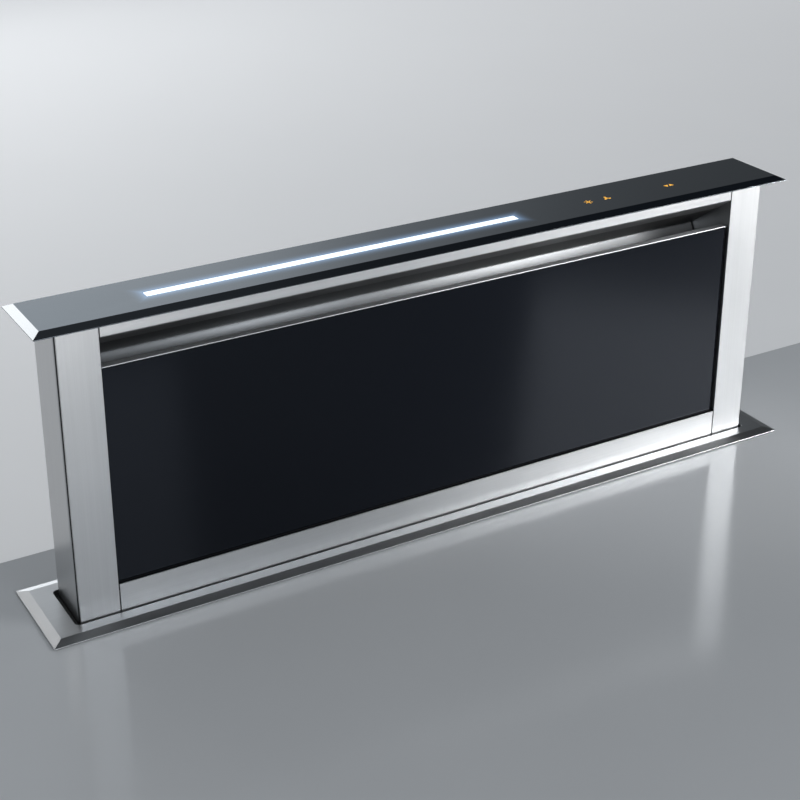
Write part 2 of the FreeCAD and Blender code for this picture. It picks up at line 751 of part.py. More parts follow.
def electronics_cover():
    half = BOX_W / 2 + FIT_GAP
    low = BOX_TOP_Z - BOX_H - FIT_GAP
    high = BOX_TOP_Z + FIT_GAP
    front = BOX_FRONT_Y - BOX_WALL
    outer = box(
        BOX_X - half - BOX_WALL, BOX_X + half + BOX_WALL,
        front, BOX_FRONT_Y + COVER_LAP, low - BOX_WALL, high + BOX_WALL,
    )
    return outer.cut(box(BOX_X - half, BOX_X + half, BOX_FRONT_Y, BOX_FRONT_Y + COVER_LAP, low, high))


def gland_x():
    return BOX_X - BOX_W / 2 + GLAND_INSET


def gland_y():
    return CASING_FRONT_Y - BOX_WALL - GLAND_NUT_R - FIT_GAP


def cable_gland():
    """Mains cable gland keyed in the box's floor, with a collar outside and its nut inside."""
    low = BOX_TOP_Z - BOX_H
    foot = low - GLAND_L
    top = low + BOX_WALL + GLAND_NUT_T
    collar = hexagon(GLAND_NUT_R, low - GLAND_NUT_T, low)
    nut = hexagon(GLAND_NUT_R, low + BOX_WALL, top)
    gland = hexagon(GLAND_R, foot, top).multiFuse([collar, nut]).removeSplitter()
    return gland.cut(rod(GLAND_BORE_R, FreeCAD.Vector(gland_x(), gland_y(), foot), Z_AXIS, top - foot))


def hexagon(radius, z0, z1):
    corners = []
    for i in range(6):
        angle = math.radians(60 * i)
        corners.append((gland_x() + radius * math.cos(angle), gland_y() + radius * math.sin(angle)))
    return prism(corners, "xy", z0, z1)


def worktop_brackets():
    """Slotted angles on the casing's front, up against the underside of the worktop."""
    top = -WORKTOP_T
    tip_y = CASING_FRONT_Y - BRACKET_ARM
    line = [(CASING_FRONT_Y, top - BRACKET_LEG), (CASING_FRONT_Y, top), (tip_y, top)]
    angle = folded(line, BRACKET_T, "yz", BRACKET_X - BRACKET_W / 2, BRACKET_X + BRACKET_W / 2)
    half = BRACKET_SLOT_W / 2
    bracket = angle.cut(box(
        BRACKET_X - half, BRACKET_X + half, tip_y, tip_y + BRACKET_SLOT_L, top - BRACKET_T, top
    ))
    return Part.makeCompound([bracket, mirrored(bracket)])


def foot_bracket(side):
    """Angle under the casing's front corner, with a bolt hole for the cabinet floor."""
    x = side * FOOT_X
    line = [
        (CASING_FRONT_Y - FOOT_REACH, -CASING_H),
        (CASING_FRONT_Y, -CASING_H),
        (CASING_FRONT_Y, -CASING_H + FOOT_H),
    ]
    angle = folded(line, FOOT_T, "yz", x - FOOT_W / 2, x + FOOT_W / 2)
    spot = FreeCAD.Vector(x, CASING_FRONT_Y - FOOT_BOLT_OUT, -CASING_H)
    return angle.cut(rod(FOOT_BOLT_R, spot, Z_AXIS, FOOT_T))


# Rising tower


def post():
    """Right post: front face, hemmed outer edge set in behind it, and two webs to the back."""
    inner = POST_INNER_X
    web = POST_WEB_X
    hem_y = FRONT_Y + 2 * SHEET
    outline = [
        (inner, FRONT_Y),
        (HALF_W, FRONT_Y),
        (HALF_W, hem_y),
        (web, hem_y),
        (web, INNER_BACK_Y),
        (web - SHEET, INNER_BACK_Y),
        (web - SHEET, INNER_FRONT_Y),
        (inner + SHEET, INNER_FRONT_Y),
        (inner + SHEET, INNER_BACK_Y),
        (inner, INNER_BACK_Y),
    ]
    body = prism(outline, "xy", -TOWER_SUNK, TOWER_RISE)
    return body.cut(shaft_pass(inner, web)).cut(bush_space(inner, inner + SHEET, FIT_GAP))


def shaft_pass(x0, x1):
    """Square window round the cross shaft."""
    half = SHAFT_PASS / 2
    return box(x0, x1, SHAFT_Y - half, SHAFT_Y + half, SHAFT_Z - half, SHAFT_Z + half)


def bush_space(x0, x1, grow):
    """The square that a panel bush fills behind the post's face, with a clearance round it."""
    half = BUSH_SIDE / 2 + grow
    return box(x0, x1, INNER_FRONT_Y, INNER_FRONT_Y + BUSH_SIDE + grow, PIVOT_Z - half, PIVOT_Z + half)


def side_panel():
    """Right outer skin, set back from the post's edge so that a dark gap shows."""
    start = FRONT_Y + 2 * SHEET + SIDE_SHADOW
    line = [
        (POST_WEB_X, start),
        (HALF_W, start),
        (HALF_W, BACK_Y),
        (POST_WEB_X, BACK_Y),
    ]
    skin = folded(line, SHEET, "xy", -TOWER_SUNK, TOWER_RISE)
    return skin.cut(shaft_pass(POST_WEB_X, HALF_W))


def back_panel():
    return box(-POST_WEB_X, POST_WEB_X, INNER_BACK_Y, BACK_Y, -TOWER_SUNK, TOWER_RISE)


def lower_panel():
    half = POST_INNER_X - SEAM
    return box(-half, half, FRONT_Y, INNER_FRONT_Y, -TOWER_SUNK, LOWER_RAIL_Z)


def ceiling_z(y):
    """Height of the intake ceiling's visible face, which falls from the top rail to the back."""
    return RAIL_TOP_EDGE - SLOPE * (y - FRONT_Y)


def top_rail():
    """Front band with a top return under the glass and a lower edge folded back along the ceiling."""
    half = POST_INNER_X - SEAM
    lap_y = FRONT_Y + LAP_DEPTH
    line = [
        (FRONT_Y + RAIL_TOP_RETURN, TOWER_RISE),
        (FRONT_Y, TOWER_RISE),
        (FRONT_Y, RAIL_TOP_EDGE),
        (lap_y, ceiling_z(lap_y)),
    ]
    return folded(line, SHEET, "yz", -half, half)


def intake_deflector():
    """Ceiling sheet, lapped on the top rail's fold and turned up along the back panel."""
    half = POST_INNER_X - SEAM
    rise = SHEET * math.sqrt(1 + SLOPE ** 2)
    start = FRONT_Y + LAP_DEPTH - LAP_OVER
    corner_z = ceiling_z(INNER_BACK_Y) + rise
    line = [
        (start, ceiling_z(start) + rise),
        (INNER_BACK_Y, corner_z),
        (INNER_BACK_Y, corner_z + CEILING_FLANGE),
    ]
    return folded(line, SHEET, "yz", -half, half)


def carriage_base():
    """Rimmed floor of the tower, with open bays for the air."""
    tray = pan(
        -POST_INNER_X, POST_INNER_X, INNER_FRONT_Y, INNER_BACK_Y,
        -TOWER_SUNK, -TOWER_SUNK + BASE_RIM, SHEET,
    )
    bay_w = (2 * POST_INNER_X - (BASE_BAYS + 1) * BASE_BORDER) / BASE_BAYS
    for i in range(BASE_BAYS):
        low = -POST_INNER_X + BASE_BORDER + i * (bay_w + BASE_BORDER)
        tray = tray.cut(box(
            low, low + bay_w, INNER_FRONT_Y + BASE_BORDER, INNER_BACK_Y - BASE_BORDER,
            -TOWER_SUNK, -TOWER_SUNK + SHEET,
        ))
    return tray


# Cap


def light_slot(grow, z0, z1):
    half = LIGHT_W / 2 + grow
    return box(LIGHT_LEFT - grow, LIGHT_RIGHT + grow, LIGHT_Y - half, LIGHT_Y + half, z0, z1)


def cap_glass():
    slab = bevelled_slab(
        -HALF_W - CAP_SIDE, HALF_W + CAP_SIDE, FRONT_Y - CAP_FRONT, BACK_Y + CAP_BACK,
        TOWER_RISE, CAP_LIP, TOWER_RISE + CAP_T, CAP_BEVEL,
    )
    return slab.cut(light_slot(FIT_GAP, TOWER_RISE, TOWER_RISE + CAP_T))


def touch_field(grow, z0, z1):
    half_x = TOUCH_W / 2 + grow
    half_y = TOUCH_D / 2 + grow
    return box(
        TOUCH_X - half_x, TOUCH_X + half_x, LIGHT_Y - half_y, LIGHT_Y + half_y, z0, z1
    )


def cap_carrier():
    """Downturned tray glued under the glass, with windows for the light and the touch board."""
    front = FRONT_Y + RAIL_TOP_RETURN + SEAM
    tray = box(
        -POST_INNER_X, POST_INNER_X, front, INNER_BACK_Y, TOWER_RISE - CARRIER_DROP, TOWER_RISE
    )
    tray = tray.cut(box(
        -POST_INNER_X + SHEET, POST_INNER_X - SHEET, front + SHEET, INNER_BACK_Y - SHEET,
        TOWER_RISE - CARRIER_DROP, TOWER_RISE - SHEET,
    ))
    tray = tray.cut(light_slot(LIGHT_SHOULDER + FIT_GAP, TOWER_RISE - SHEET, TOWER_RISE))
    return tray.cut(touch_field(FIT_GAP, TOWER_RISE - SHEET, TOWER_RISE))


def led_diffuser():
    head = light_slot(0, TOWER_RISE, TOWER_RISE + CAP_T)
    shoulder = light_slot(LIGHT_SHOULDER, TOWER_RISE - LIGHT_DEPTH, TOWER_RISE)
    return head.fuse(shoulder).removeSplitter()


def led_board():
    top = TOWER_RISE - LIGHT_DEPTH
    return light_slot(LIGHT_SHOULDER, top - BOARD_T, top)


def touch_board():
    return touch_field(0, TOWER_RISE - BOARD_T, TOWER_RISE)


# Filters


def filter_turn():
    return math.degrees(math.atan2(FILTER_HEAD_Y - FILTER_FOOT_Y, FILTER_HEAD_Z - FILTER_FOOT_Z))


def filter_length():
    return math.hypot(FILTER_HEAD_Y - FILTER_FOOT_Y, FILTER_HEAD_Z - FILTER_FOOT_Z)


def leaned(shape):
    """Set a piece that was drawn upright at its foot onto the filters' leaning plane."""
    shape.rotate(FreeCAD.Vector(), X_AXIS, -filter_turn())
    shape.translate(FreeCAD.Vector(0, FILTER_FOOT_Y, FILTER_FOOT_Z))
    return shape


def filter_sides():
    return FILTER_GAP / 2, POST_INNER_X - FILTER_GAP


def filter_frame():
    """Right cassette's frame: a rim with a groove round its window, and a finger tab."""
    near, far = filter_sides()
    length = filter_length()
    half_t = FILTER_T / 2
    rim = box(near, far, -half_t, half_t, 0, length)
    window = box(
        near + FILTER_BORDER, far - FILTER_BORDER, -half_t, half_t, FILTER_BORDER, length - FILTER_BORDER
    )
    groove = mesh_space(0)
    middle = (near + far) / 2
    tab = box(
        middle - TAB_W / 2, middle + TAB_W / 2, -half_t - TAB_H, -half_t,
        length - FILTER_BORDER, length - FILTER_BORDER + SHEET,
    )
    return leaned(rim.cut(window).cut(groove).fuse(tab).removeSplitter())


def mesh_space(clear):
    """The groove that holds the mesh, less a clearance."""
    near, far = filter_sides()
    edge = FILTER_BORDER - GROOVE_DEPTH + clear
    half = FILTER_T / 2 - SHEET - clear
    return box(near + edge, far - edge, -half, half, edge, filter_length() - edge)


def filter_mesh():
    """Right cassette's mesh, folded zigzag along its height."""
    room = mesh_space(FIT_GAP).BoundBox
    folds = round(room.ZLength / MESH_PITCH) * 2
    step = room.ZLength / folds
    peak = room.YMax - MESH_T
    front, back = [], []
    for i in range(folds + 1):
        crest = peak if i % 2 else room.YMin
        front.append((crest, room.ZMin + i * step))
        back.append((crest + MESH_T, room.ZMin + i * step))
    return leaned(prism(front + back[::-1], "yz", room.XMin, room.XMax))


def filter_ledge():
    """Channel between the posts in which both cassettes stand."""
    half = FILTER_T / 2 + BEND_R + SHEET
    line = [
        (half, LEDGE_BACK),
        (half, -SHEET),
        (-half, -SHEET),
        (-half, LEDGE_FRONT),
    ]
    return leaned(folded(line[::-1], SHEET, "yz", -POST_INNER_X, POST_INNER_X))


# Front panel


def front_glass():
    top = PANEL_TOP_Z - TRIM_T - TRIM_GAP
    return box(-PANEL_HALF_W, PANEL_HALF_W, GLASS_FRONT_Y, GLASS_BACK_Y, GLASS_FOOT_Z, top)


def panel_frame():
    """Shallow tray glued behind the glass, its rims turned back."""
    top = PANEL_TOP_Z - TRIM_T
    outer = box(-PANEL_HALF_W, PANEL_HALF_W, GLASS_BACK_Y, PANEL_BACK_Y, GLASS_FOOT_Z, top)
    return outer.cut(box(
        -PANEL_HALF_W + SHEET, PANEL_HALF_W - SHEET, GLASS_BACK_Y + SHEET, PANEL_BACK_Y,
        GLASS_FOOT_Z + SHEET, top - SHEET,
    ))


def panel_top_trim():
    """Strip along the panel's top edge, with a leg down its back that serves as the finger pull."""
    leg_y = PANEL_BACK_Y + BEND_R + TRIM_T
    line = [
        (GLASS_FRONT_Y - TRIM_PROUD, PANEL_TOP_Z),
        (leg_y, PANEL_TOP_Z),
        (leg_y, PANEL_TOP_Z - TRIM_LEG),
    ]
    return folded(line[::-1], TRIM_T, "yz", -PANEL_HALF_W, PANEL_HALF_W)


def panel_hinge_rail():
    """Bar under the glass and its frame, with a pivot pin at either end."""
    bar = box(
        -PANEL_HALF_W, PANEL_HALF_W, GLASS_FRONT_Y, PANEL_BACK_Y, HINGE_BAR_Z, GLASS_FOOT_Z
    )
    reach = POST_INNER_X + BUSH_T
    pin = rod(PIVOT_R, FreeCAD.Vector(-reach, PIVOT_Y, PIVOT_Z), X_AXIS, 2 * reach)
    return bar.fuse(pin).removeSplitter()


def panel_bushes():
    """Bushes for the panel's pins, set through square windows of the posts."""
    start = POST_INNER_X
    block = bush_space(start, start + BUSH_T, 0)
    bush = block.cut(rod(PIVOT_R + PIVOT_FIT, FreeCAD.Vector(start, PIVOT_Y, PIVOT_Z), X_AXIS, BUSH_T))
    return Part.makeCompound([bush, mirrored(bush)])


def panel_catches():
    """Magnet blocks on the posts, just behind the panel's top corners."""
    top = PANEL_TOP_Z - TRIM_LEG - CATCH_DROP
    face = PANEL_BACK_Y + FIT_GAP
    block = box(
        POST_INNER_X - CATCH_W, POST_INNER_X, face, face + CATCH_W, top - CATCH_H, top
    )
    return Part.makeCompound([block, mirrored(block)])


# Lift drive


def cross_shaft():
    reach = WALL_X - PINION_GAP
    return rod(SHAFT_R, FreeCAD.Vector(-reach, SHAFT_Y, SHAFT_Z), X_AXIS, 2 * reach)


def involute(radius, base_r):
    """Turn, in radians, of an involute at a radius, from where it leaves its base circle."""
    slope = math.sqrt(max((radius / base_r) ** 2 - 1, 0))
    return slope - math.atan(slope)


def pinion():
    """Right pinion, its flanks drawn through three points of the involute, a tooth towards the rack."""
    base_r = PITCH_R * math.cos(math.radians(PRESSURE_DEG))
    tip_r = PITCH_R + TOOTH_TIP
    root_r = PITCH_R - TOOTH_ROOT
    half_tooth = math.pi / (2 * GEAR_TEETH) + involute(PITCH_R, base_r)
    start = WALL_X - PINION_GAP - PINION_W

    def at(radius, turn):
        y = SHAFT_Y + radius * math.cos(turn)
        return FreeCAD.Vector(start, y, SHAFT_Z + radius * math.sin(turn))

    half_widths = [(root_r, half_tooth)]
    half_widths += [(r, half_tooth - involute(r, base_r)) for r in (base_r, PITCH_R, tip_r)]
    outline = []
    for i in range(GEAR_TEETH):
        middle = 2 * math.pi / GEAR_TEETH * i
        outline += [at(r, middle - half) for r, half in half_widths]
        outline += [at(r, middle + half) for r, half in half_widths[::-1]]
    face = Part.Face(Part.makePolygon(outline + outline[:1]))
    gear = face.extrude(FreeCAD.Vector(PINION_W, 0, 0))
    return gear.cut(rod(SHAFT_R, FreeCAD.Vector(start, SHAFT_Y, SHAFT_Z), X_AXIS, PINION_W))


def shaft_bearings():
    """Bearing blocks on the posts' outer webs, one at either end of the shaft."""
    outer = POST_WEB_X - SHEET
    half = BEARING_SIDE / 2
    block = box(
        outer - BEARING_T, outer, SHAFT_Y - half, SHAFT_Y + half, SHAFT_Z - half, SHAFT_Z + half
    )
    spot = FreeCAD.Vector(outer - BEARING_T, SHAFT_Y, SHAFT_Z)
    bearing = block.cut(rod(SHAFT_R + SHAFT_FIT, spot, X_AXIS, BEARING_T))
    return Part.makeCompound([bearing, mirrored(bearing)])


def lift_gearbox():
    """Worm gear housing on the tower's floor, with the cross shaft through it."""
    half = GEARBOX_W / 2
    foot = -TOWER_SUNK + SHEET
    back = INNER_BACK_Y - GEARBOX_BACK_GAP
    block = box(
        GEARBOX_X - half, GEARBOX_X + half, GEARBOX_FRONT_Y, back, foot, SHAFT_Z + GEARBOX_UP
    )
    housing = block.makeChamfer(GEARBOX_CHAMFER, upright_edges(block))
    spot = FreeCAD.Vector(GEARBOX_X - half, SHAFT_Y, SHAFT_Z)
    return housing.cut(rod(SHAFT_R + SHAFT_FIT, spot, X_AXIS, GEARBOX_W))


def lift_motor():
    """Round motor standing on the gearbox."""
    middle_y = GEARBOX_FRONT_Y - FIT_GAP + LIFT_MOTOR_R
    foot = FreeCAD.Vector(GEARBOX_X, middle_y, SHAFT_Z + GEARBOX_UP)
    return rod(LIFT_MOTOR_R, foot, Z_AXIS, LIFT_MOTOR_L)


def pieces():
    """Every node of the hood and its solid."""
    return {
        "trim_flange": trim_flange(),
        "flange_seal": flange_seal(),
        "slot_gasket": slot_gasket(),
        "casing_rear": casing_rear(),
        "casing_front": casing_front(),
        "blower_plate": blower_plate(),
        "casing_floor": casing_floor(),
        "guide_rail_left": mirrored(guide_rail()),
        "guide_rail_right": guide_rail(),
        "rack_left": mirrored(rack()),
        "rack_right": rack(),
        "end_sensors": end_sensors(),
        "volute_housing": volute_housing(),
        "outlet_transition": outlet_transition(),
        "duct_spigot": duct_spigot(),
        "flap_pin": flap_pin(),
        "blower_motor": blower_motor(),
        "electronics_box": electronics_box(),
        "electronics_cover": electronics_cover(),
        "cable_gland": cable_gland(),
        "worktop_brackets": worktop_brackets(),
        "foot_left": foot_bracket(-1),
        "foot_right": foot_bracket(1),
        "cap_glass": cap_glass(),
        "cap_carrier": cap_carrier(),
        "led_diffuser": led_diffuser(),
        "led_board": led_board(),
        "touch_board": touch_board(),
        "post_left": mirrored(post()),
        "post_right": post(),
        "side_panel_left": mirrored(side_panel()),
        "side_panel_right": side_panel(),
        "back_panel": back_panel(),
        "top_rail": top_rail(),
        "intake_deflector": intake_deflector(),
        "lower_panel": lower_panel(),
        "filter_frame_left": mirrored(filter_frame()),
        "filter_frame_right": filter_frame(),
        "filter_mesh_left": mirrored(filter_mesh()),
        "filter_mesh_right": filter_mesh(),
        "filter_ledge": filter_ledge(),
        "carriage_base": carriage_base(),
        "guide_shoes": guide_shoes(),
        "lift_gearbox": lift_gearbox(),
        "lift_motor": lift_motor(),
        "shaft_bearings": shaft_bearings(),
        "panel_catches": panel_catches(),
        "panel_bushes": panel_bushes(),
        "cross_shaft": cross_shaft(),
        "pinion_left": mirrored(pinion()),
        "pinion_right": pinion(),
        "front_glass": front_glass(),
        "panel_frame": panel_frame(),
        "panel_top_trim": panel_top_trim(),
        "panel_hinge_rail": panel_hinge_rail(),
        "impeller": impeller(),
        "flap_front": flap(-1),
        "flap_rear": flap(1),
    }


os.makedirs("parts", exist_ok=True)
for name, shape in pieces().items():
    shape.exportStep("parts/" + name + ".step")
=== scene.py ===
import json
import math

import bpy
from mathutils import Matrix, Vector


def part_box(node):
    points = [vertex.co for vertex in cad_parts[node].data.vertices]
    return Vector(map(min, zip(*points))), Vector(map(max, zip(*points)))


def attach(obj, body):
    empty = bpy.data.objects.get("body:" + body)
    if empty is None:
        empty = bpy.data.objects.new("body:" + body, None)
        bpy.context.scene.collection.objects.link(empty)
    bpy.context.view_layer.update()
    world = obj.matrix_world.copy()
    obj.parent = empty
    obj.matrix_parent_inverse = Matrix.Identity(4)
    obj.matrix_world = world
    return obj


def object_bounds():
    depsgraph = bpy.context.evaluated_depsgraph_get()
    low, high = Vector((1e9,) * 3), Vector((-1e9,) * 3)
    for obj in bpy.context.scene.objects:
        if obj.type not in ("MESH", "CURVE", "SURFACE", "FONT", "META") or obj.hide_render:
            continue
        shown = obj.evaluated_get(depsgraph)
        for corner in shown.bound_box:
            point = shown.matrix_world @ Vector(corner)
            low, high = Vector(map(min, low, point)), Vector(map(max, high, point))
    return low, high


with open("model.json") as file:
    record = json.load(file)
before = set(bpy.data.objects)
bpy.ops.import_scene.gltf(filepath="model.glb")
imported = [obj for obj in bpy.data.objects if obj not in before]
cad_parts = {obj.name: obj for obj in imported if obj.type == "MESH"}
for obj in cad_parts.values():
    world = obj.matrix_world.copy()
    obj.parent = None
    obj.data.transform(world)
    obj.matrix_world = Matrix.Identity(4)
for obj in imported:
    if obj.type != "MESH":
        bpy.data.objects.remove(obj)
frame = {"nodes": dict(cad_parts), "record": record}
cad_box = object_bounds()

# Looks of a worktop downdraft hood, raised. Metres, +Z up, front towards -Y.
# The origin is the centre of the worktop cut-out, on the worktop's surface.
MM = 0.001

# Camera, as an 800 x 800 image
CAMERA_PLACE = (-0.8085, -1.3277, 0.8971)
CAMERA_TURN = 0.527
CAMERA_DIP = 0.412
CAMERA_FOCUS_PX = 1652.8
IMAGE_PX = 800
CAMERA_SENSOR = 36.0
CAMERA_SHIFT = -0.1

# Stage
BOARD_HALF_W = 1.05
BOARD_FRONT = -0.62
BOARD_BACK = 0.118
BOARD_T = 0.03
CUTOUT_GAP = 3 * MM
FLOOR_HALF = 9.0
FLOOR_DROP = 1 * MM
# Painted light on the floor: glow strength near and far, and the distances over which it grows
FLOOR_NEAR = 0.20
FLOOR_FAR = 0.46
FLOOR_BRIGHTENS = (0.4, 5.0)
SKY_LEVEL = 1.6
SKY_COLOUR = (0.84, 0.92, 1.0)
BACKDROP_COLOUR = (0.82, 0.83, 0.84)
SKY_ACROSS = (
    (-1.0, 0.36), (-0.1, 0.5), (0.15, 1.0), (0.27, 0.95), (0.49, 0.30), (0.65, 0.10), (1.0, 0.10),
)
SKY_UP = (
    (-1.0, 0.6), (0.2, 0.8), (0.32, 1.0), (0.42, 1.0), (0.48, 0.5), (0.55, 0.16), (1.0, 0.12),
)

# Lamps: name, kind, place, aim, width and height or cone in degrees, power, colour
WHITE = (1.0, 1.0, 1.0)
LAMPS = (
    ("key_right", "AREA", (2.67, -2.46, 1.72), (0.45, -0.2, 0.1), (1.45, 0.9), 47, (0.95, 0.975, 1.0)),
    ("key_low", "SPOT", (2.5, -2.3, 0.36), (0.27, -0.03, 0.17), 10.5, 420, WHITE),
    ("front_cool", "AREA", (0.30, -2.15, 1.15), (-0.3, 0.0, 0.15), (0.5, 0.7), 4.5, (0.88, 0.93, 1.0)),
    ("fill_left", "AREA", (-1.7, -1.5, 1.5), (0.0, 0.0, 0.1), (1.4, 1.0), 6, WHITE),
    ("bevel_left", "AREA", (-0.61, 1.1, 0.85), (-0.43, 0.0, 0.3), (0.17, 0.15), 0.45, WHITE),
    ("low_front", "AREA", (-0.4, -2.4, -0.2), (0.0, 0.0, -0.4), (1.6, 0.6), 9, WHITE),
    ("low_back", "AREA", (0.5, 5.4, 1.3), (0.0, 0.0, -0.3), (2.4, 1.2), 30, WHITE),
)
BEAM_BLEND = 0.6
BEAM_RADIUS = 0.1

# Ways that a piece made pointing up can face, and directions of brushing
FACING_FRONT = (math.pi / 2, 0, 0)
FACING_BACK = (-math.pi / 2, 0, 0)
FACING_DOWN = (math.pi, 0, 0)
ACROSS = (1, 0, 0)
UPRIGHT = (0, 0, 1)

# How far a piece stands off what it lies on, and how square a face is to count as facing one way
SEAT = 0.02 * MM
SQUARE = 0.9

# Edges and shading
EDGE_ROUND = 0.35 * MM
EDGE_WELD = 0.005 * MM
EDGE_SEGMENTS = 2
FLAT_WEIGHT = 90
SHALLOW_PIECES = ("trim_flange", "cap_glass")
SHALLOW_DEG = 10
FOLDED_PIECES = ("post_left", "post_right", "top_rail", "lower_panel", "panel_top_trim", "front_glass")
FOLDED_DEG = 20
ROUND_FLUSH = 0.12 * MM
ROUND_FINE = 0.2 * MM
ROUND_SMALL = 0.25 * MM
ROUND_MOULDED = 0.3 * MM
ROUND_PRESSED = 0.5 * MM
SMOOTH_DEG = 30
SMOOTH_PRESSED_DEG = 40
SMOOTH_ROLLED_DEG = 60

# Fasteners and where they sit
SCREW_SIDES = 28
SCREW_WASHER_R = 5.0 * MM
SCREW_WASHER_T = 0.8 * MM
SCREW_HEX_R = 3.4 * MM
SCREW_HEX_H = 2.6 * MM
SCREW_RIM = 0.5 * MM
SCREW_DISH_W = 0.6 * MM
SCREW_DISH_D = 0.5 * MM
RIVET_SIDES = 20
RIVET_R = 2.2 * MM
RIVET_H = 0.9 * MM
RIVET_DOME_W = 0.5 * RIVET_R
RIVET_DOME_H = 0.3 * RIVET_H
FLAT_SCREW_R = 4.0 * MM
FLAT_SCREW_H = 0.25 * MM
FLAT_SCREW_SOCKET = 1.7 * MM
FLAT_SCREW_SOCKET_D = 1.6 * FLAT_SCREW_H
HEX_SIDES = 6
COVER_SCREW_INSET = 9 * MM
MOTOR_SCREW_REACH = 49 * MM
MOTOR_FLANGE_T = 4 * MM
BRACKET_SCREW_INSET = 20 * MM
BRACKET_SCREW_FRONT = 9 * MM
BRACKET_T = 2 * MM
CASING_RIVET_INSET = 8 * MM
CASING_RIVET_PITCH = 58 * MM
CASING_RIVET_TOP = 40 * MM
CASING_RIVET_SPARE = 60 * MM
BACK_SCREW_INSET = 17 * MM
BACK_SCREW_HEIGHTS = (0.022, 0.112, 0.202, 0.292)

# Filter cassettes, leaning back
FILTER_LEAN = 0.1963
FILTER_FOOT = (-0.0110, 0.0460)
FILTER_T = 9.0 * MM
FILTER_LENGTH = 0.1794
FILTER_RIVET_INSET = 7 * MM

# Swaged ribs of the casing
RIB_W = 16.0 * MM
RIB_H = 2.2 * MM
RIB_FOOT = 0.2 * MM
RIB_END = 0.49 * RIB_W
RIB_END_SEGMENTS = 6
RIB_SLOPE = 0.28 * RIB_W
RIB_BACK_L = 0.72
RIB_BACK_ZS = (-0.115, -0.235, -0.355, -0.475, -0.590)
RIB_FRONT_L = 0.53
RIB_FRONT_X = 0.115
RIB_FRONT_ZS = (-0.115, -0.225)
RIB_WING_L = 0.20
RIB_WING_SPOTS = ((0.290, -0.325), (0.290, -0.405), (-0.285, -0.325), (-0.285, -0.545))
RIB_SIDE_L = 0.50
RIB_SIDE_Z = -0.34

# Louvres of the electronics cover
LOUVRE_W = 30.0 * MM
LOUVRE_H = 7.0 * MM
LOUVRE_D = 3.0 * MM
LOUVRE_TAPER = (0.86, 1.0, 0.12)
LOUVRE_LIP = 0.7 * MM
LOUVRE_MOUTH = 0.18 * LOUVRE_H
LOUVRE_PITCH = 12.0 * MM
LOUVRE_ROWS = 6
LOUVRE_BANK_X = 24 * MM

# Scroll: its four centres, tabs as quarter and angle in degrees, and the frame at its mouth
WHEEL_AXIS = (0.020, -0.430)
SCROLL_STEP = 0.025
SCROLL_R = 0.1132
TAB_SPOTS = ((1, 12), (1, 55), (2, 105), (2, 155), (3, 200), (3, 240))
TAB_W = 20.0 * MM
TAB_L = 17.0 * MM
TAB_T = 1.5 * MM
TAB_END = 0.36 * TAB_W
TAB_END_SEGMENTS = 5
TAB_LEG = 0.8 * TAB_L
TAB_LEG_END = 0.25 * TAB_W
TAB_LEG_SEGMENTS = 4
TAB_SCREW_REACH = 0.58 * TAB_L
OUTLET_ROOF = -0.5083
FRAME_W = 7.0 * MM
FRAME_T = 3.0 * MM
FRAME_GRIP = 0.5 * FRAME_T

# Duct lip and motor cap
LIP_R = 1.2 * MM
LIP_INSET = 0.1 * MM
LIP_SIDES = 12
LIP_STEPS = 72
LIP_WELD = 0.01 * MM
CAP_R = 46.0 * MM
CAP_T = 3.0 * MM
CAP_SPOKES = 48
CAP_RINGS = (6 * MM, 20 * MM, 6 * MM)
CAP_BOSS_SLOPE = 2 * MM
CAP_BOSS_H = 3 * MM
VENT_REACH = (24 * MM, 38 * MM)
VENT_EDGE = 0.5 * MM
VENT_DEPTH = 0.8 * CAP_T
VENT_GROUP = 3

# Painted shade: black strips beside the posts, in gaps where there is only shade
POST_HEM = 2.4 * MM
SHADE_STRIP_GAP = 0.05 * MM
SHADE_STRIP_SET_IN = 0.4 * MM
SHADE_STRIP_FOOT = 1 * MM
SHADE_STRIP_HEAD = 0.3 * MM
SHADE_STRIP_GROOVE_EDGE = 1.2 * MM
SHADE_STRIP_GROOVE_D = 0.8 * MM

# Air guide: radius, thickness, head as y and z, lean of head and foot in degrees
GUIDE_R = 145.0 * MM
GUIDE_T = 0.8 * MM
GUIDE_HEAD = (30.6 * MM, 249.2 * MM)
GUIDE_LEAN = (26.0, 15.0)
GUIDE_GAP = 1.2 * MM
GUIDE_STEPS = 8

# Touch symbols on the cap
SYMBOL_PLACES = {"light": 0.190, "fan": 0.214, "lift": 0.297}
SYMBOL_BACK = -0.006
SYMBOL_R = 4.6 * MM
SYMBOL_LINE = 0.9 * MM
SYMBOL_T = 0.12 * MM
RING_SIDES = 40
LIGHT_RING_R = 0.45 * SYMBOL_R
RAYS = 6
RAY_REACH = 0.8 * SYMBOL_R
RAY_L = 0.4 * SYMBOL_R
FAN_RING_R = 0.28 * SYMBOL_R
BLADES = 3
BLADE_SIDES = 20
BLADE_R = 0.34 * SYMBOL_R
BLADE_SQUEEZE = 0.75
BLADE_LEAN = 0.5
BLADE_REACH = 0.68 * SYMBOL_R
ARROW_SIDES = 3
ARROW_R = 0.7 * SYMBOL_R
ARROW_REACH = 0.65 * SYMBOL_R

# Light strip: where its white ends and its blue begins, and the glow in the glass round it
STRIP_LEVEL = 1.15
STRIP_WHITE = 2.5 * MM
STRIP_BLUE = 5.2 * MM
GLOW_SPAN = (-2 * MM, 16 * MM)
GLOW_FALL = 3.0
GLOW_LEVEL = 0.5


# Small tools for materials


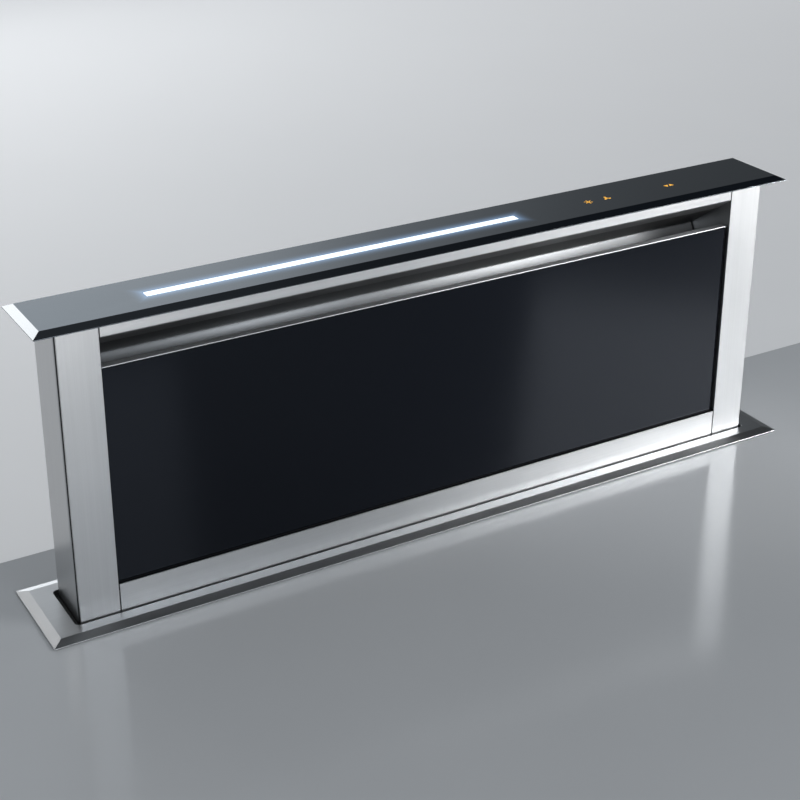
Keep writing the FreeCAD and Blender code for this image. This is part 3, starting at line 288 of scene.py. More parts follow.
class Finish:
    """A material on the principled shader, with short ways to add and join nodes."""

    def __init__(self, name, colour, roughness, metallic=0.0):
        self.material = bpy.data.materials.new(name)
        self.material.use_nodes = True
        self.tree = self.material.node_tree
        self.shader = self.tree.nodes["Principled BSDF"]
        self.set("Base Color", (*colour, 1.0))
        self.set("Roughness", roughness)
        self.set("Metallic", metallic)

    def set(self, socket, value):
        self.shader.inputs[socket].default_value = value

    def add(self, kind, **settings):
        node = self.tree.nodes.new("ShaderNode" + kind)
        for name, value in settings.items():
            setattr(node, name, value)
        return node

    def join(self, output, target):
        self.tree.links.new(output, target)

    def place(self, scale=(1, 1, 1), turn=(0, 0, 0), shift=(0, 0, 0)):
        """Object coordinates, scaled, turned and shifted."""
        where = self.add("TexCoord")
        mapping = self.add("Mapping")
        mapping.inputs["Scale"].default_value = scale
        mapping.inputs["Rotation"].default_value = turn
        mapping.inputs["Location"].default_value = shift
        self.join(where.outputs["Object"], mapping.inputs["Vector"])
        return mapping.outputs["Vector"]

    def noise(self, vector, scale, detail, roughness=0.55):
        node = self.add("TexNoise")
        node.inputs["Scale"].default_value = scale
        node.inputs["Detail"].default_value = detail
        node.inputs["Roughness"].default_value = roughness
        self.join(vector, node.inputs["Vector"])
        return node.outputs["Fac"]

    def cells(self, vector, scale, feature="F1"):
        node = self.add("TexVoronoi", feature=feature)
        node.inputs["Scale"].default_value = scale
        self.join(vector, node.inputs["Vector"])
        return node

    def spread(self, value, low, high, start=0.3, end=0.7):
        """Maps a texture's value to a range of numbers."""
        node = self.add("MapRange")
        node.inputs["From Min"].default_value = start
        node.inputs["From Max"].default_value = end
        node.inputs["To Min"].default_value = low
        node.inputs["To Max"].default_value = high
        self.join(value, node.inputs["Value"])
        return node.outputs["Result"]

    def tint(self, value, dark, light, start=0.3, end=0.7):
        """Maps a texture's value to a range of colours."""
        node = self.add("ValToRGB")
        first, last = node.color_ramp.elements
        first.position, last.position = start, end
        first.color, last.color = (*dark, 1.0), (*light, 1.0)
        self.join(value, node.inputs["Fac"])
        return node.outputs["Color"]

    def sum_of(self, a, b, share):
        node = self.add("Mix", data_type="FLOAT")
        node.inputs["Factor"].default_value = share
        self.join(a, node.inputs["A"])
        self.join(b, node.inputs["B"])
        return node.outputs["Result"]

    def maths(self, operation, a, b):
        node = self.add("Math", operation=operation)
        for socket, value in zip(node.inputs, (a, b)):
            if isinstance(value, (int, float)):
                socket.default_value = value
            else:
                self.join(value, socket)
        return node.outputs["Value"]

    def colour(self, output):
        self.join(output, self.shader.inputs["Base Color"])

    def rough(self, output):
        self.join(output, self.shader.inputs["Roughness"])

    def relief(self, height, strength, depth):
        bump = self.add("Bump")
        bump.inputs["Strength"].default_value = strength
        bump.inputs["Distance"].default_value = depth
        self.join(height, bump.inputs["Height"])
        self.join(bump.outputs["Normal"], self.shader.inputs["Normal"])


# Finishes


def brushed_stainless(name, grain, tone, roughness):
    """Stainless sheet brushed along one axis: hairlines, broader streaks and faint cloudiness."""
    finish = Finish(name, (tone, tone, tone), roughness, 1.0)
    fine = [7 if along else 900 for along in grain]
    broad = [1.5 if along else 120 for along in grain]
    hairs = finish.noise(finish.place(fine), 1.0, 4.0, 0.6)
    streaks = finish.noise(finish.place(broad), 1.0, 2.0)
    cloud = finish.noise(finish.place(), 9.0, 2.0)
    lines = finish.sum_of(hairs, streaks, 0.4)
    dark = (tone * 0.95, tone * 0.955, tone * 0.96)
    light = (tone * 1.03, tone * 1.035, tone * 1.04)
    finish.colour(finish.tint(lines, dark, light, 0.32, 0.68))
    finish.rough(finish.spread(finish.sum_of(lines, cloud, 0.3), roughness - 0.03, roughness + 0.04))
    finish.relief(hairs, 0.12, 0.05 * MM)
    return finish.material


def black_glass(name, colour, tint, roughness, level, ior):
    """Black-backed glass, polished, with the faint haze that wiping leaves."""
    finish = Finish(name, colour, roughness)
    finish.set("IOR", ior)
    finish.set("Specular IOR Level", level)
    finish.set("Specular Tint", (*tint, 1.0))
    haze = finish.noise(finish.place((2.0, 7.0, 7.0), (0.0, 0.0, 0.4)), 3.0, 4.0)
    finish.rough(finish.spread(haze, roughness, roughness + 0.03))
    return finish


def panel_glass():
    """Glass of the front panel."""
    dark = (0.0020, 0.0026, 0.0044)
    return black_glass("panel_black_glass", dark, (0.80, 0.87, 1.0), 0.03, 0.24, 1.52).material


def cap_glass():
    """Cap glass, lit from within for a few millimetres round the light strip."""
    dark = (0.004, 0.0055, 0.008)
    finish = black_glass("cap_black_glass", dark, (0.88, 0.95, 1.0), 0.06, 0.5, 1.9)
    low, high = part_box("led_diffuser")
    middle = (low + high) / 2
    half = (high - low) / 2
    where = finish.add("SeparateXYZ")
    finish.join(finish.place(shift=(-middle.x, -middle.y, 0)), where.inputs["Vector"])
    beside = finish.maths("SUBTRACT", finish.maths("ABSOLUTE", where.outputs["X"], 0), half.x)
    before = finish.maths("SUBTRACT", finish.maths("ABSOLUTE", where.outputs["Y"], 0), half.y)
    away = finish.maths("MAXIMUM", beside, before)
    near = finish.spread(away, 1.0, 0.0, *GLOW_SPAN)
    fall = finish.maths("POWER", near, GLOW_FALL)
    finish.set("Emission Color", (0.30, 0.50, 0.82, 1.0))
    finish.join(finish.maths("MULTIPLY", fall, GLOW_LEVEL), finish.shader.inputs["Emission Strength"])
    return finish.material


def lit_diffuser():
    """Opal strip, evenly lit, a little bluer towards its long edges."""
    finish = Finish("opal_light_strip", (0.9, 0.93, 0.96), 0.35)
    low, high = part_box("led_diffuser")
    where = finish.add("SeparateXYZ")
    finish.join(finish.place(shift=(0, -(low.y + high.y) / 2, 0)), where.inputs["Vector"])
    off = finish.maths("ABSOLUTE", where.outputs["Y"], 0)
    tone = finish.tint(off, WHITE, (0.62, 0.82, 1.0), STRIP_WHITE, STRIP_BLUE)
    finish.join(tone, finish.shader.inputs["Emission Color"])
    finish.set("Emission Strength", STRIP_LEVEL)
    return finish.material


def zinc_sheet():
    """Galvanised sheet with its spangle of crystals."""
    finish = Finish("galvanised_sheet", (0.52, 0.54, 0.55), 0.42, 0.9)
    crystals = finish.cells(finish.place(), 110.0)
    bright = finish.add("SeparateColor")
    finish.join(crystals.outputs["Color"], bright.inputs["Color"])
    grain = finish.noise(finish.place((40, 40, 40)), 6.0, 3.0)
    mixed = finish.sum_of(bright.outputs["Red"], grain, 0.45)
    finish.colour(finish.tint(mixed, (0.43, 0.45, 0.47), (0.60, 0.62, 0.63), 0.15, 0.85))
    finish.rough(finish.spread(mixed, 0.33, 0.50))
    finish.relief(grain, 0.15, 0.05 * MM)
    return finish.material


def turned_steel():
    """Bright machined steel with fine turning marks."""
    finish = Finish("machined_steel", (0.60, 0.60, 0.60), 0.24, 1.0)
    marks = finish.noise(finish.place((1400, 60, 60)), 1.0, 3.0)
    finish.colour(finish.tint(marks, (0.52, 0.52, 0.52), (0.66, 0.66, 0.65)))
    finish.rough(finish.spread(marks, 0.18, 0.32))
    finish.relief(marks, 0.1, 0.03 * MM)
    return finish.material


def drawn_aluminium():
    """Extruded aluminium with die lines along its length and a satin finish."""
    finish = Finish("drawn_aluminium", (0.72, 0.73, 0.74), 0.36, 1.0)
    lines = finish.noise(finish.place((500, 500, 4)), 1.0, 3.0)
    finish.colour(finish.tint(lines, (0.64, 0.65, 0.66), (0.78, 0.79, 0.80)))
    finish.rough(finish.spread(lines, 0.30, 0.44))
    finish.relief(lines, 0.12, 0.05 * MM)
    return finish.material


def anodised_black():
    """Black anodised aluminium with its die lines still faintly showing."""
    finish = Finish("black_anodised", (0.012, 0.012, 0.013), 0.4, 0.6)
    lines = finish.noise(finish.place((4, 500, 500)), 1.0, 3.0)
    finish.colour(finish.tint(lines, (0.009, 0.009, 0.010), (0.018, 0.018, 0.020)))
    finish.rough(finish.spread(lines, 0.34, 0.46))
    finish.relief(lines, 0.1, 0.04 * MM)
    return finish.material


def filter_weave():
    """Expanded aluminium mesh: bright strands round diamond gaps, and the gaps' near-black is painted shade
    for what shows through the holes.
    """
    finish = Finish("expanded_aluminium", (0.7, 0.7, 0.7), 0.38, 1.0)
    strands = finish.cells(finish.place((1.0, 1.7, 1.7)), 330.0, "DISTANCE_TO_EDGE")
    gap = strands.outputs["Distance"]
    # The gaps' near-black is painted shade seen through the mesh's holes.
    finish.colour(finish.tint(gap, (0.74, 0.75, 0.76), (0.06, 0.06, 0.065), 0.10, 0.30))
    finish.rough(finish.spread(gap, 0.32, 0.6, 0.1, 0.4))
    finish.relief(finish.spread(gap, 1.0, 0.0, 0.05, 0.3), 0.6, 0.4 * MM)
    return finish.material


def moulded_plastic(name, colour, roughness, grain):
    """Moulded plastic with an eroded grain and slight unevenness."""
    finish = Finish(name, colour, roughness)
    pebbles = finish.noise(finish.place(), grain, 2.0)
    cloud = finish.noise(finish.place(), 14.0, 3.0)
    dark = [c * 0.85 for c in colour]
    light = [min(1.0, c * 1.15) for c in colour]
    finish.colour(finish.tint(cloud, dark, light))
    finish.rough(finish.spread(pebbles, roughness - 0.06, roughness + 0.08))
    finish.relief(pebbles, 0.25, 0.06 * MM)
    return finish.material


def board_lacquer():
    """Circuit board: green lacquer over copper tracks."""
    finish = Finish("circuit_lacquer", (0.02, 0.15, 0.07), 0.25)
    tracks = finish.add("TexBrick")
    tracks.inputs["Scale"].default_value = 60.0
    tracks.inputs["Mortar Size"].default_value = 0.025
    tracks.inputs["Color1"].default_value = (0.015, 0.13, 0.06, 1.0)
    tracks.inputs["Color2"].default_value = (0.02, 0.16, 0.075, 1.0)
    tracks.inputs["Mortar"].default_value = (0.09, 0.28, 0.10, 1.0)
    finish.join(finish.place(), tracks.inputs["Vector"])
    finish.colour(tracks.outputs["Color"])
    finish.relief(tracks.outputs["Fac"], 0.2, 0.05 * MM)
    return finish.material


def satin_paint():
    """Dark satin paint with a little orange peel, worn lighter here and there."""
    finish = Finish("motor_satin_paint", (0.06, 0.06, 0.065), 0.4, 0.3)
    peel = finish.noise(finish.place(), 420.0, 2.0)
    wear = finish.noise(finish.place(), 22.0, 5.0, 0.7)
    finish.colour(finish.tint(wear, (0.045, 0.045, 0.05), (0.10, 0.10, 0.105), 0.45, 0.75))
    finish.rough(finish.spread(peel, 0.34, 0.48))
    finish.relief(peel, 0.3, 0.08 * MM)
    return finish.material


def amber_light():
    """Lit amber of the touch symbols."""
    finish = Finish("amber_symbol", (0.5, 0.25, 0.02), 0.4)
    finish.set("Emission Color", (1.0, 0.50, 0.06, 1.0))
    finish.set("Emission Strength", 0.9)
    return finish.material


def dress_nodes():
    """Gives every CAD node the finish of its slot, with the brushing along each steel piece."""
    across = brushed_stainless("stainless_brushed_across", ACROSS, 0.64, 0.30)
    upright = brushed_stainless("stainless_brushed_upright", UPRIGHT, 0.62, 0.31)
    slots = {
        "stainless": across,
        "zinc_sheet": zinc_sheet(),
        "bright_steel": turned_steel(),
        "aluminium": drawn_aluminium(),
        "dark_plastic": moulded_plastic("black_moulding", (0.035, 0.035, 0.038), 0.5, 900.0),
        "pale_plastic": moulded_plastic("natural_acetal", (0.76, 0.75, 0.70), 0.38, 500.0),
        "rubber": moulded_plastic("seal_rubber", (0.018, 0.018, 0.018), 0.75, 1500.0),
        "black_glass": panel_glass(),
        "light_strip": lit_diffuser(),
        "circuit_board": board_lacquer(),
        "motor_paint": satin_paint(),
    }
    own = {
        "cap_glass": cap_glass(),
        "panel_hinge_rail": anodised_black(),
        "panel_top_trim": brushed_stainless("stainless_satin_trim", ACROSS, 0.62, 0.46),
        "trim_flange": brushed_stainless("stainless_flange", ACROSS, 0.46, 0.34),
        # The intake's ceiling is stainless at a darker tone: painted shade for the shade inside the intake.
        "intake_deflector": brushed_stainless("stainless_ceiling_painted_shade", ACROSS, 0.36, 0.30),
        "filter_mesh_left": filter_weave(),
        "post_left": upright,
        "post_right": upright,
        "side_panel_left": upright,
        "side_panel_right": upright,
    }
    own["filter_mesh_right"] = own["filter_mesh_left"]
    for part in frame["record"]["subparts"]:
        node = frame["nodes"][part["node"]]
        node.data.materials.clear()
        node.data.materials.append(own.get(part["node"], slots[part["material_slot"]]))
    return slots


def round_edges():
    """Breaks the sharp edges of the pieces that show most, so that they catch the light."""
    for name in SHALLOW_PIECES + FOLDED_PIECES:
        node = frame["nodes"][name]
        weld = node.modifiers.new("joined", "WELD")
        weld.merge_threshold = EDGE_WELD
        edges = node.modifiers.new("edges", "BEVEL")
        edges.width = EDGE_ROUND
        edges.segments = EDGE_SEGMENTS
        edges.limit_method = "ANGLE"
        edges.angle_limit = math.radians(SHALLOW_DEG if name in SHALLOW_PIECES else FOLDED_DEG)
        flats = node.modifiers.new("flats", "WEIGHTED_NORMAL")
        flats.weight = FLAT_WEIGHT
        flats.keep_sharp = False


# Small tools for modelling


def deselect():
    bpy.ops.object.select_all(action="DESELECT")


def pick(piece):
    """Selects one piece alone and makes it the active one."""
    deselect()
    piece.select_set(True)
    bpy.context.view_layer.objects.active = piece


def begin(name, add, **settings):
    """A new primitive under its own name."""
    deselect()
    add(**settings)
    piece = bpy.context.object
    piece.name = name
    piece.data.name = name
    return piece


def clear_choice(kind):
    """Object mode, with nothing selected in the mesh and faces or edges to be chosen."""
    bpy.ops.object.mode_set(mode="EDIT")
    bpy.ops.mesh.select_mode(type=kind)
    bpy.ops.mesh.select_all(action="DESELECT")
    bpy.ops.object.mode_set(mode="OBJECT")


def edit_faces(piece, test):
    """Edit mode, with the faces selected that pass the test."""
    clear_choice("FACE")
    for face in piece.data.polygons:
        face.select = test(face)
    bpy.ops.object.mode_set(mode="EDIT")


def round_corners(piece, test, offset, segments):
    """Rounds the edges whose two ends pass the test."""
    clear_choice("EDGE")
    spots = piece.data.vertices
    for edge in piece.data.edges:
        a, b = (spots[i].co for i in edge.vertices)
        edge.select = test(a, b)
    bpy.ops.object.mode_set(mode="EDIT")
    bpy.ops.mesh.bevel(offset=offset, segments=segments, affect="EDGES")
    end_edit()


def edit_all():
    """Edit mode, with everything selected."""
    bpy.ops.object.mode_set(mode="EDIT")
    bpy.ops.mesh.select_all(action="SELECT")


def end_edit():
    bpy.ops.object.mode_set(mode="OBJECT")


def face_outward():
    """Turns the active piece's normals outward."""
    edit_all()
    bpy.ops.mesh.normals_make_consistent(inside=False)
    end_edit()


def push(offset):
    """Moves the selected faces out or in, with walls behind them."""
    bpy.ops.mesh.extrude_region_move(TRANSFORM_OT_translate={"value": offset})


def apply_bevel(piece, width):
    """Rounds all sharp edges of a piece."""
    bevel = piece.modifiers.new("edges", "BEVEL")
    bevel.width = width
    bevel.segments = EDGE_SEGMENTS
    bevel.limit_method = "ANGLE"
    pick(piece)
    bpy.ops.object.modifier_apply(modifier=bevel.name)


def settle(piece):
    """Puts the piece's place into its mesh."""
    pick(piece)
    bpy.ops.object.transform_apply(location=True, rotation=True, scale=True)
    return piece


def slab(name, low, high):
    """A block between two corners, to be shaped further."""
    block = begin(name, bpy.ops.mesh.primitive_cube_add, size=1)
    block.scale = [b - a for a, b in zip(low, high)]
    block.location = [(a + b) / 2 for a, b in zip(low, high)]
    return settle(block)


def cut_out(piece, tool):
    """Cuts a block out of a piece."""
    cut = piece.modifiers.new("cut", "BOOLEAN")
    cut.object = tool
    cut.operation = "DIFFERENCE"
    pick(piece)
    bpy.ops.object.modifier_apply(modifier=cut.name)
    bpy.data.objects.remove(tool)
    return piece


def copies(pattern, places, turns):
    """Copies of a piece, each with its own mesh, joined under the pattern's name."""
    if not isinstance(turns, list):
        turns = [turns] * len(places)
    made = []
    for place, turn in zip(places, turns):
        copy = begin_copy(pattern)
        copy.rotation_euler = turn
        copy.location = place
        made.append(settle(copy))
    name = pattern.name
    bpy.data.objects.remove(pattern)
    return merge(name, made)


def begin_copy(pattern):
    """A copy of a piece with its own mesh, left selected."""
    pick(pattern)
    bpy.ops.object.duplicate(linked=False)
    return bpy.context.object


def merge(name, pieces):
    """Joins pieces into one."""
    deselect()
    for piece in pieces:
        piece.select_set(True)
    bpy.context.view_layer.objects.active = pieces[0]
    if len(pieces) > 1:
        bpy.ops.object.join()
    piece = bpy.context.object
    piece.name = name
    piece.data.name = name
    return piece


def give(piece, body, material, smooth=SMOOTH_DEG):
    """Finishes a piece: smooth shading, material and body."""
    settle(piece)
    bpy.ops.object.shade_smooth_by_angle(angle=math.radians(smooth))
    piece.data.materials.clear()
    piece.data.materials.append(material)
    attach(piece, body)


def top_of(face):
    """Whether a face looks up."""
    return face.normal.z > SQUARE


# Fasteners


def hex_screw(name):
    """Hexagon head on a round washer face, pointing up, with a dished top."""
    washer = begin(
        name, bpy.ops.mesh.primitive_cylinder_add, vertices=SCREW_SIDES, radius=SCREW_WASHER_R,
        depth=SCREW_WASHER_T, location=(0, 0, SCREW_WASHER_T / 2),
    )
    settle(washer)
    apply_bevel(washer, ROUND_SMALL)
    head = begin(
        name + "_head", bpy.ops.mesh.primitive_cylinder_add, vertices=HEX_SIDES, radius=SCREW_HEX_R,
        depth=SCREW_HEX_H, location=(0, 0, SCREW_WASHER_T + SCREW_HEX_H / 2),
    )
    settle(head)
    apply_bevel(head, ROUND_FINE)
    edit_faces(head, top_of)
    bpy.ops.mesh.inset(thickness=SCREW_RIM, depth=0)
    bpy.ops.mesh.inset(thickness=SCREW_DISH_W, depth=-SCREW_DISH_D)
    end_edit()
    return merge(name, [washer, head])


def rivet(name):
    """Low domed rivet head, pointing up."""
    head = begin(
        name, bpy.ops.mesh.primitive_cylinder_add, vertices=RIVET_SIDES, radius=RIVET_R, depth=RIVET_H,
        location=(0, 0, RIVET_H / 2),
    )
    settle(head)
    edit_faces(head, top_of)
    bpy.ops.mesh.inset(thickness=RIVET_DOME_W, depth=RIVET_DOME_H)
    end_edit()
    apply_bevel(head, ROUND_SMALL)
    return head


def flat_screw(name):
    """Flat socket screw, its head almost flush, pointing up."""
    head = begin(
        name, bpy.ops.mesh.primitive_cylinder_add, vertices=SCREW_SIDES, radius=FLAT_SCREW_R,
        depth=2 * FLAT_SCREW_H,
    )
    apply_bevel(head, ROUND_FLUSH)
    socket = begin(
        name + "_socket", bpy.ops.mesh.primitive_cylinder_add, vertices=HEX_SIDES, radius=FLAT_SCREW_SOCKET,
        depth=FLAT_SCREW_SOCKET_D, location=(0, 0, FLAT_SCREW_H),
    )
    settle(socket)
    return cut_out(head, socket)


def cover_screws(steel):
    """Screws in the corners of the electronics cover."""
    low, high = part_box("electronics_cover")
    xs = (low.x + COVER_SCREW_INSET, high.x - COVER_SCREW_INSET)
    zs = (low.z + COVER_SCREW_INSET, high.z - COVER_SCREW_INSET)
    places = [(x, low.y - SEAT, z) for x in xs for z in zs]
    give(copies(hex_screw("cover_screws"), places, FACING_FRONT), "casing", steel)


def motor_screws(steel):
    """Screws in the corners of the blower motor's flange."""
    low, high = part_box("blower_motor")
    middle = (low + high) / 2
    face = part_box("volute_housing")[0].y - MOTOR_FLANGE_T
    reach = MOTOR_SCREW_REACH
    places = [
        (middle.x + sx * reach, face - SEAT, middle.z + sz * reach) for sx in (-1, 1) for sz in (-1, 1)
    ]
    give(copies(hex_screw("motor_screws"), places, FACING_FRONT), "casing", steel)


def bracket_screws(steel):
    """Screws under the worktop brackets."""
    low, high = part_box("worktop_brackets")
    x = high.x - BRACKET_SCREW_INSET
    y = low.y + BRACKET_SCREW_FRONT
    places = [(s * x, y, high.z - BRACKET_T - SEAT) for s in (-1, 1)]
    give(copies(hex_screw("bracket_screws"), places, FACING_DOWN), "casing", steel)


def casing_rivets(steel):
    """Rivets that hold the two front sheets to the casing's returns."""
    low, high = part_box("casing_front")
    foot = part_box("blower_plate")[0].z
    inset = CASING_RIVET_INSET
    count = int((high.z - foot - 2 * inset - CASING_RIVET_SPARE) / CASING_RIVET_PITCH)
    xs = (low.x + inset, high.x - inset)
    places = []
    for i in range(count + 1):
        z = high.z - CASING_RIVET_TOP - i * CASING_RIVET_PITCH
        places += [(x, low.y - SEAT, z) for x in xs]
    give(copies(rivet("casing_rivets"), places, FACING_FRONT), "casing", steel)


def back_screws(steel):
    """Two columns of flush screws that hold the tower's back sheet to the posts."""
    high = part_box("back_panel")[1]
    x = high.x - BACK_SCREW_INSET
    places = [(s * x, high.y, z) for z in BACK_SCREW_HEIGHTS for s in (-1, 1)]
    give(copies(flat_screw("back_screws"), places, FACING_BACK), "carriage", steel)


def filter_rivets(steel):
    """Corner rivets of the two filter cassettes, square to their leaning frames."""
    low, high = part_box("filter_frame_right")
    edge = FILTER_RIVET_INSET
    foot_y, foot_z = FILTER_FOOT
    places = []
    for along in (edge, FILTER_LENGTH - edge):
        y = foot_y + along * math.sin(FILTER_LEAN) - FILTER_T / 2 * math.cos(FILTER_LEAN)
        z = foot_z + along * math.cos(FILTER_LEAN) + FILTER_T / 2 * math.sin(FILTER_LEAN)
        places += [(s * x, y, z) for s in (-1, 1) for x in (low.x + edge, high.x - edge)]
    turn = (math.pi / 2 - FILTER_LEAN, 0, 0)
    give(copies(rivet("filter_rivets"), places, turn), "carriage", steel)


# Pressings and mouldings


def stiffening_rib(name, length):
    """Swaged rib lying along X and rising towards +Z, round at both ends."""
    base = slab(name, (-length / 2, -RIB_W / 2, 0), (length / 2, RIB_W / 2, RIB_FOOT))
    round_corners(base, lambda a, b: abs(a.z - b.z) > RIB_FOOT / 2, RIB_END, RIB_END_SEGMENTS)
    edit_faces(base, top_of)
    bpy.ops.mesh.inset(thickness=RIB_SLOPE, depth=RIB_H)
    end_edit()
    apply_bevel(base, ROUND_PRESSED)
    return base


def casing_ribs(sheet):
    """Swages that stiffen the large flat sheets of the casing."""
    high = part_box("casing_rear")[1]
    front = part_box("casing_front")[0].y
    back = [(0, high.y - SEAT, z) for z in RIB_BACK_ZS]
    upper = [(RIB_FRONT_X, front + SEAT, z) for z in RIB_FRONT_ZS]
    wing = [(x, front + SEAT, z) for x, z in RIB_WING_SPOTS]
    sides = [(s * (high.x - SEAT), 0, RIB_SIDE_Z) for s in (-1, 1)]
    sideways = [(0, s * math.pi / 2, 0) for s in (-1, 1)]
    for name, length, places, turns in (
        ("ribs_back", RIB_BACK_L, back, FACING_BACK),
        ("ribs_front", RIB_FRONT_L, upper, FACING_FRONT),
        ("ribs_wing", RIB_WING_L, wing, FACING_FRONT),
        ("ribs_side", RIB_SIDE_L, sides, sideways),
    ):
        ribs = copies(stiffening_rib(name, length), places, turns)
        give(ribs, "casing", sheet, SMOOTH_PRESSED_DEG)


def louvre(name):
    """Hooded slot facing up: its hood slopes away to one side and is open on the other."""
    hood = slab(name, (-LOUVRE_W / 2, -LOUVRE_H / 2, 0), (LOUVRE_W / 2, LOUVRE_H / 2, LOUVRE_D))
    edit_faces(hood, lambda face: face.normal.y > SQUARE)
    bpy.ops.transform.resize(value=LOUVRE_TAPER, center_override=(0, LOUVRE_H / 2, 0))
    end_edit()
    edit_faces(hood, lambda face: face.normal.y < -SQUARE)
    bpy.ops.mesh.inset(thickness=LOUVRE_LIP)
    push((0, LOUVRE_MOUTH, 0))
    end_edit()
    apply_bevel(hood, ROUND_MOULDED)
    return hood


def cover_louvres(plastic):
    """Two banks of louvres in the electronics cover, open downwards."""
    low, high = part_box("electronics_cover")
    middle = (low + high) / 2
    places = []
    for i in range(LOUVRE_ROWS):
        z = middle.z + (i - (LOUVRE_ROWS - 1) / 2) * LOUVRE_PITCH
        places += [(middle.x + s * LOUVRE_BANK_X, low.y + SEAT, z) for s in (-1, 1)]
    louvres = copies(louvre("cover_louvres"), places, FACING_FRONT)
    give(louvres, "casing", plastic, SMOOTH_PRESSED_DEG)


def scroll_tab(name):
    """Bent tab: a foot lying along X with a round end, and a leg standing on its inner end."""
    foot = slab(name, (0, -TAB_W / 2, 0), (TAB_L, TAB_W / 2, TAB_T))
    round_corners(
        foot, lambda a, b: min(a.x, b.x) > TAB_L / 2 and abs(a.z - b.z) > TAB_T / 2,
        TAB_END, TAB_END_SEGMENTS,
    )
    leg = slab(name + "_leg", (0, -TAB_W / 2, 0), (TAB_T, TAB_W / 2, TAB_LEG))
    round_corners(
        leg, lambda a, b: min(a.z, b.z) > TAB_T and abs(a.x - b.x) > TAB_T / 2,
        TAB_LEG_END, TAB_LEG_SEGMENTS,
    )
    tab = merge(name, [foot, leg])
    apply_bevel(tab, ROUND_SMALL)
    return tab


def scroll_tabs(sheet, steel):
    """Tabs and screws that hold the scroll to the blower plate, round its outline."""
    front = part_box("blower_plate")[0].y
    half = SCROLL_STEP / 2
    reach = TAB_SCREW_REACH
    corners = ((half, half), (-half, half), (-half, -half), (half, -half))
    places, screws, turns = [], [], []
    for quarter, degrees in TAB_SPOTS:
        angle = math.radians(degrees)
        across, up = math.cos(angle), math.sin(angle)
        radius = SCROLL_R + quarter * SCROLL_STEP
        x = WHEEL_AXIS[0] + corners[quarter][0] + radius * across
        z = WHEEL_AXIS[1] + corners[quarter][1] + radius * up
        places.append((x, front - SEAT, z))
        screws.append((x + reach * across, front - SEAT - TAB_T, z + reach * up))
        turns.append((math.pi / 2, -angle, 0))
    give(copies(scroll_tab("scroll_tabs"), places, turns), "casing", sheet)
    give(copies(hex_screw("scroll_screws"), screws, FACING_FRONT), "casing", steel)


def outlet_frame(sheet):
    """Turned-out edge of the scroll's mouth, on three sides."""
    low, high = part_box("volute_housing")
    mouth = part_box("outlet_transition")[0].x
    edge = slab(
        "outlet_frame", (mouth - FRAME_T, low.y - FRAME_W, low.z - FRAME_W),
        (mouth - SEAT, high.y - FRAME_GRIP, OUTLET_ROOF + FRAME_W),
    )
    hole = slab(
        "outlet_hole", (mouth - 2 * FRAME_T, low.y, low.z),
        (mouth + FRAME_T, high.y + FRAME_W, OUTLET_ROOF),
    )
    cut_out(edge, hole)
    apply_bevel(edge, ROUND_PRESSED)
    give(edge, "casing", sheet)


def duct_lip(plastic):
    """Rolled lip round the mouth of the duct collar."""
    low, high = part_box("duct_spigot")
    middle = (low + high) / 2
    ring_r = high.z - middle.z - LIP_R - LIP_INSET
    lip = begin(
        "duct_lip", bpy.ops.mesh.primitive_circle_add, vertices=LIP_SIDES, radius=LIP_R,
        rotation=(math.pi / 2, 0, 0), location=(high.x, middle.y, middle.z + ring_r),
    )
    settle(lip)
    edit_all()
    bpy.ops.mesh.spin(steps=LIP_STEPS, angle=2 * math.pi, center=middle, axis=(1, 0, 0))
    bpy.ops.mesh.select_all(action="SELECT")
    bpy.ops.mesh.remove_doubles(threshold=LIP_WELD)
    bpy.ops.mesh.normals_make_consistent(inside=False)
    end_edit()
    give(lip, "casing", plastic, SMOOTH_ROLLED_DEG)


def is_vent(face):
    """Two spokes of each three in the cap's wide ring are vents."""
    reach = math.hypot(face.center.x, face.center.y)
    turn = math.atan2(face.center.y, face.center.x) % (2 * math.pi)
    spoke = int(turn / (2 * math.pi) * CAP_SPOKES) % VENT_GROUP
    return top_of(face) and VENT_REACH[0] < reach < VENT_REACH[1] and spoke != 0


def motor_cap(paint):
    """End cap of the blower motor: rim, ring of radial vents and a raised bearing boss."""
    low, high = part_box("blower_motor")
    cap = begin(
        "motor_cap", bpy.ops.mesh.primitive_cylinder_add, vertices=CAP_SPOKES, radius=CAP_R, depth=CAP_T,
        location=(0, 0, CAP_T / 2),
    )
    settle(cap)
    edit_faces(cap, top_of)
    for ring in CAP_RINGS:
        bpy.ops.mesh.inset(thickness=ring)
    bpy.ops.mesh.inset(thickness=CAP_BOSS_SLOPE, depth=CAP_BOSS_H)
    end_edit()
    edit_faces(cap, is_vent)
    bpy.ops.mesh.inset(thickness=VENT_EDGE, use_individual=True)
    push((0, 0, -VENT_DEPTH))
    end_edit()
    apply_bevel(cap, ROUND_MOULDED)
    cap.rotation_euler = FACING_FRONT
    cap.location = ((low.x + high.x) / 2, low.y - SEAT, (low.z + high.z) / 2)
    give(cap, "casing", paint)


def shadow_strips(rubber):
    """Black strips in the gaps between the posts' edges and the side sheets: painted shade, which makes the
    gaps read dark.
    """
    low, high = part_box("side_panel_left")
    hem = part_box("post_left")[0].y + POST_HEM
    strip = slab(
        "shadow_strips", (low.x + SHADE_STRIP_SET_IN, hem + SHADE_STRIP_GAP, low.z + SHADE_STRIP_FOOT),
        (high.x - SEAT, low.y - SHADE_STRIP_GAP, high.z - SHADE_STRIP_HEAD),
    )
    edit_faces(strip, lambda face: face.normal.x < -SQUARE)
    bpy.ops.mesh.inset(thickness=SHADE_STRIP_GROOVE_EDGE, depth=-SHADE_STRIP_GROOVE_D)
    end_edit()
    apply_bevel(strip, ROUND_FINE)
    twin = begin_copy(strip)
    twin.scale = (-1, 1, 1)
    settle(twin)
    face_outward()
    # The black rubber finish of these strips paints the shade in the gaps.
    give(merge("shadow_strips", [strip, twin]), "carriage", rubber)


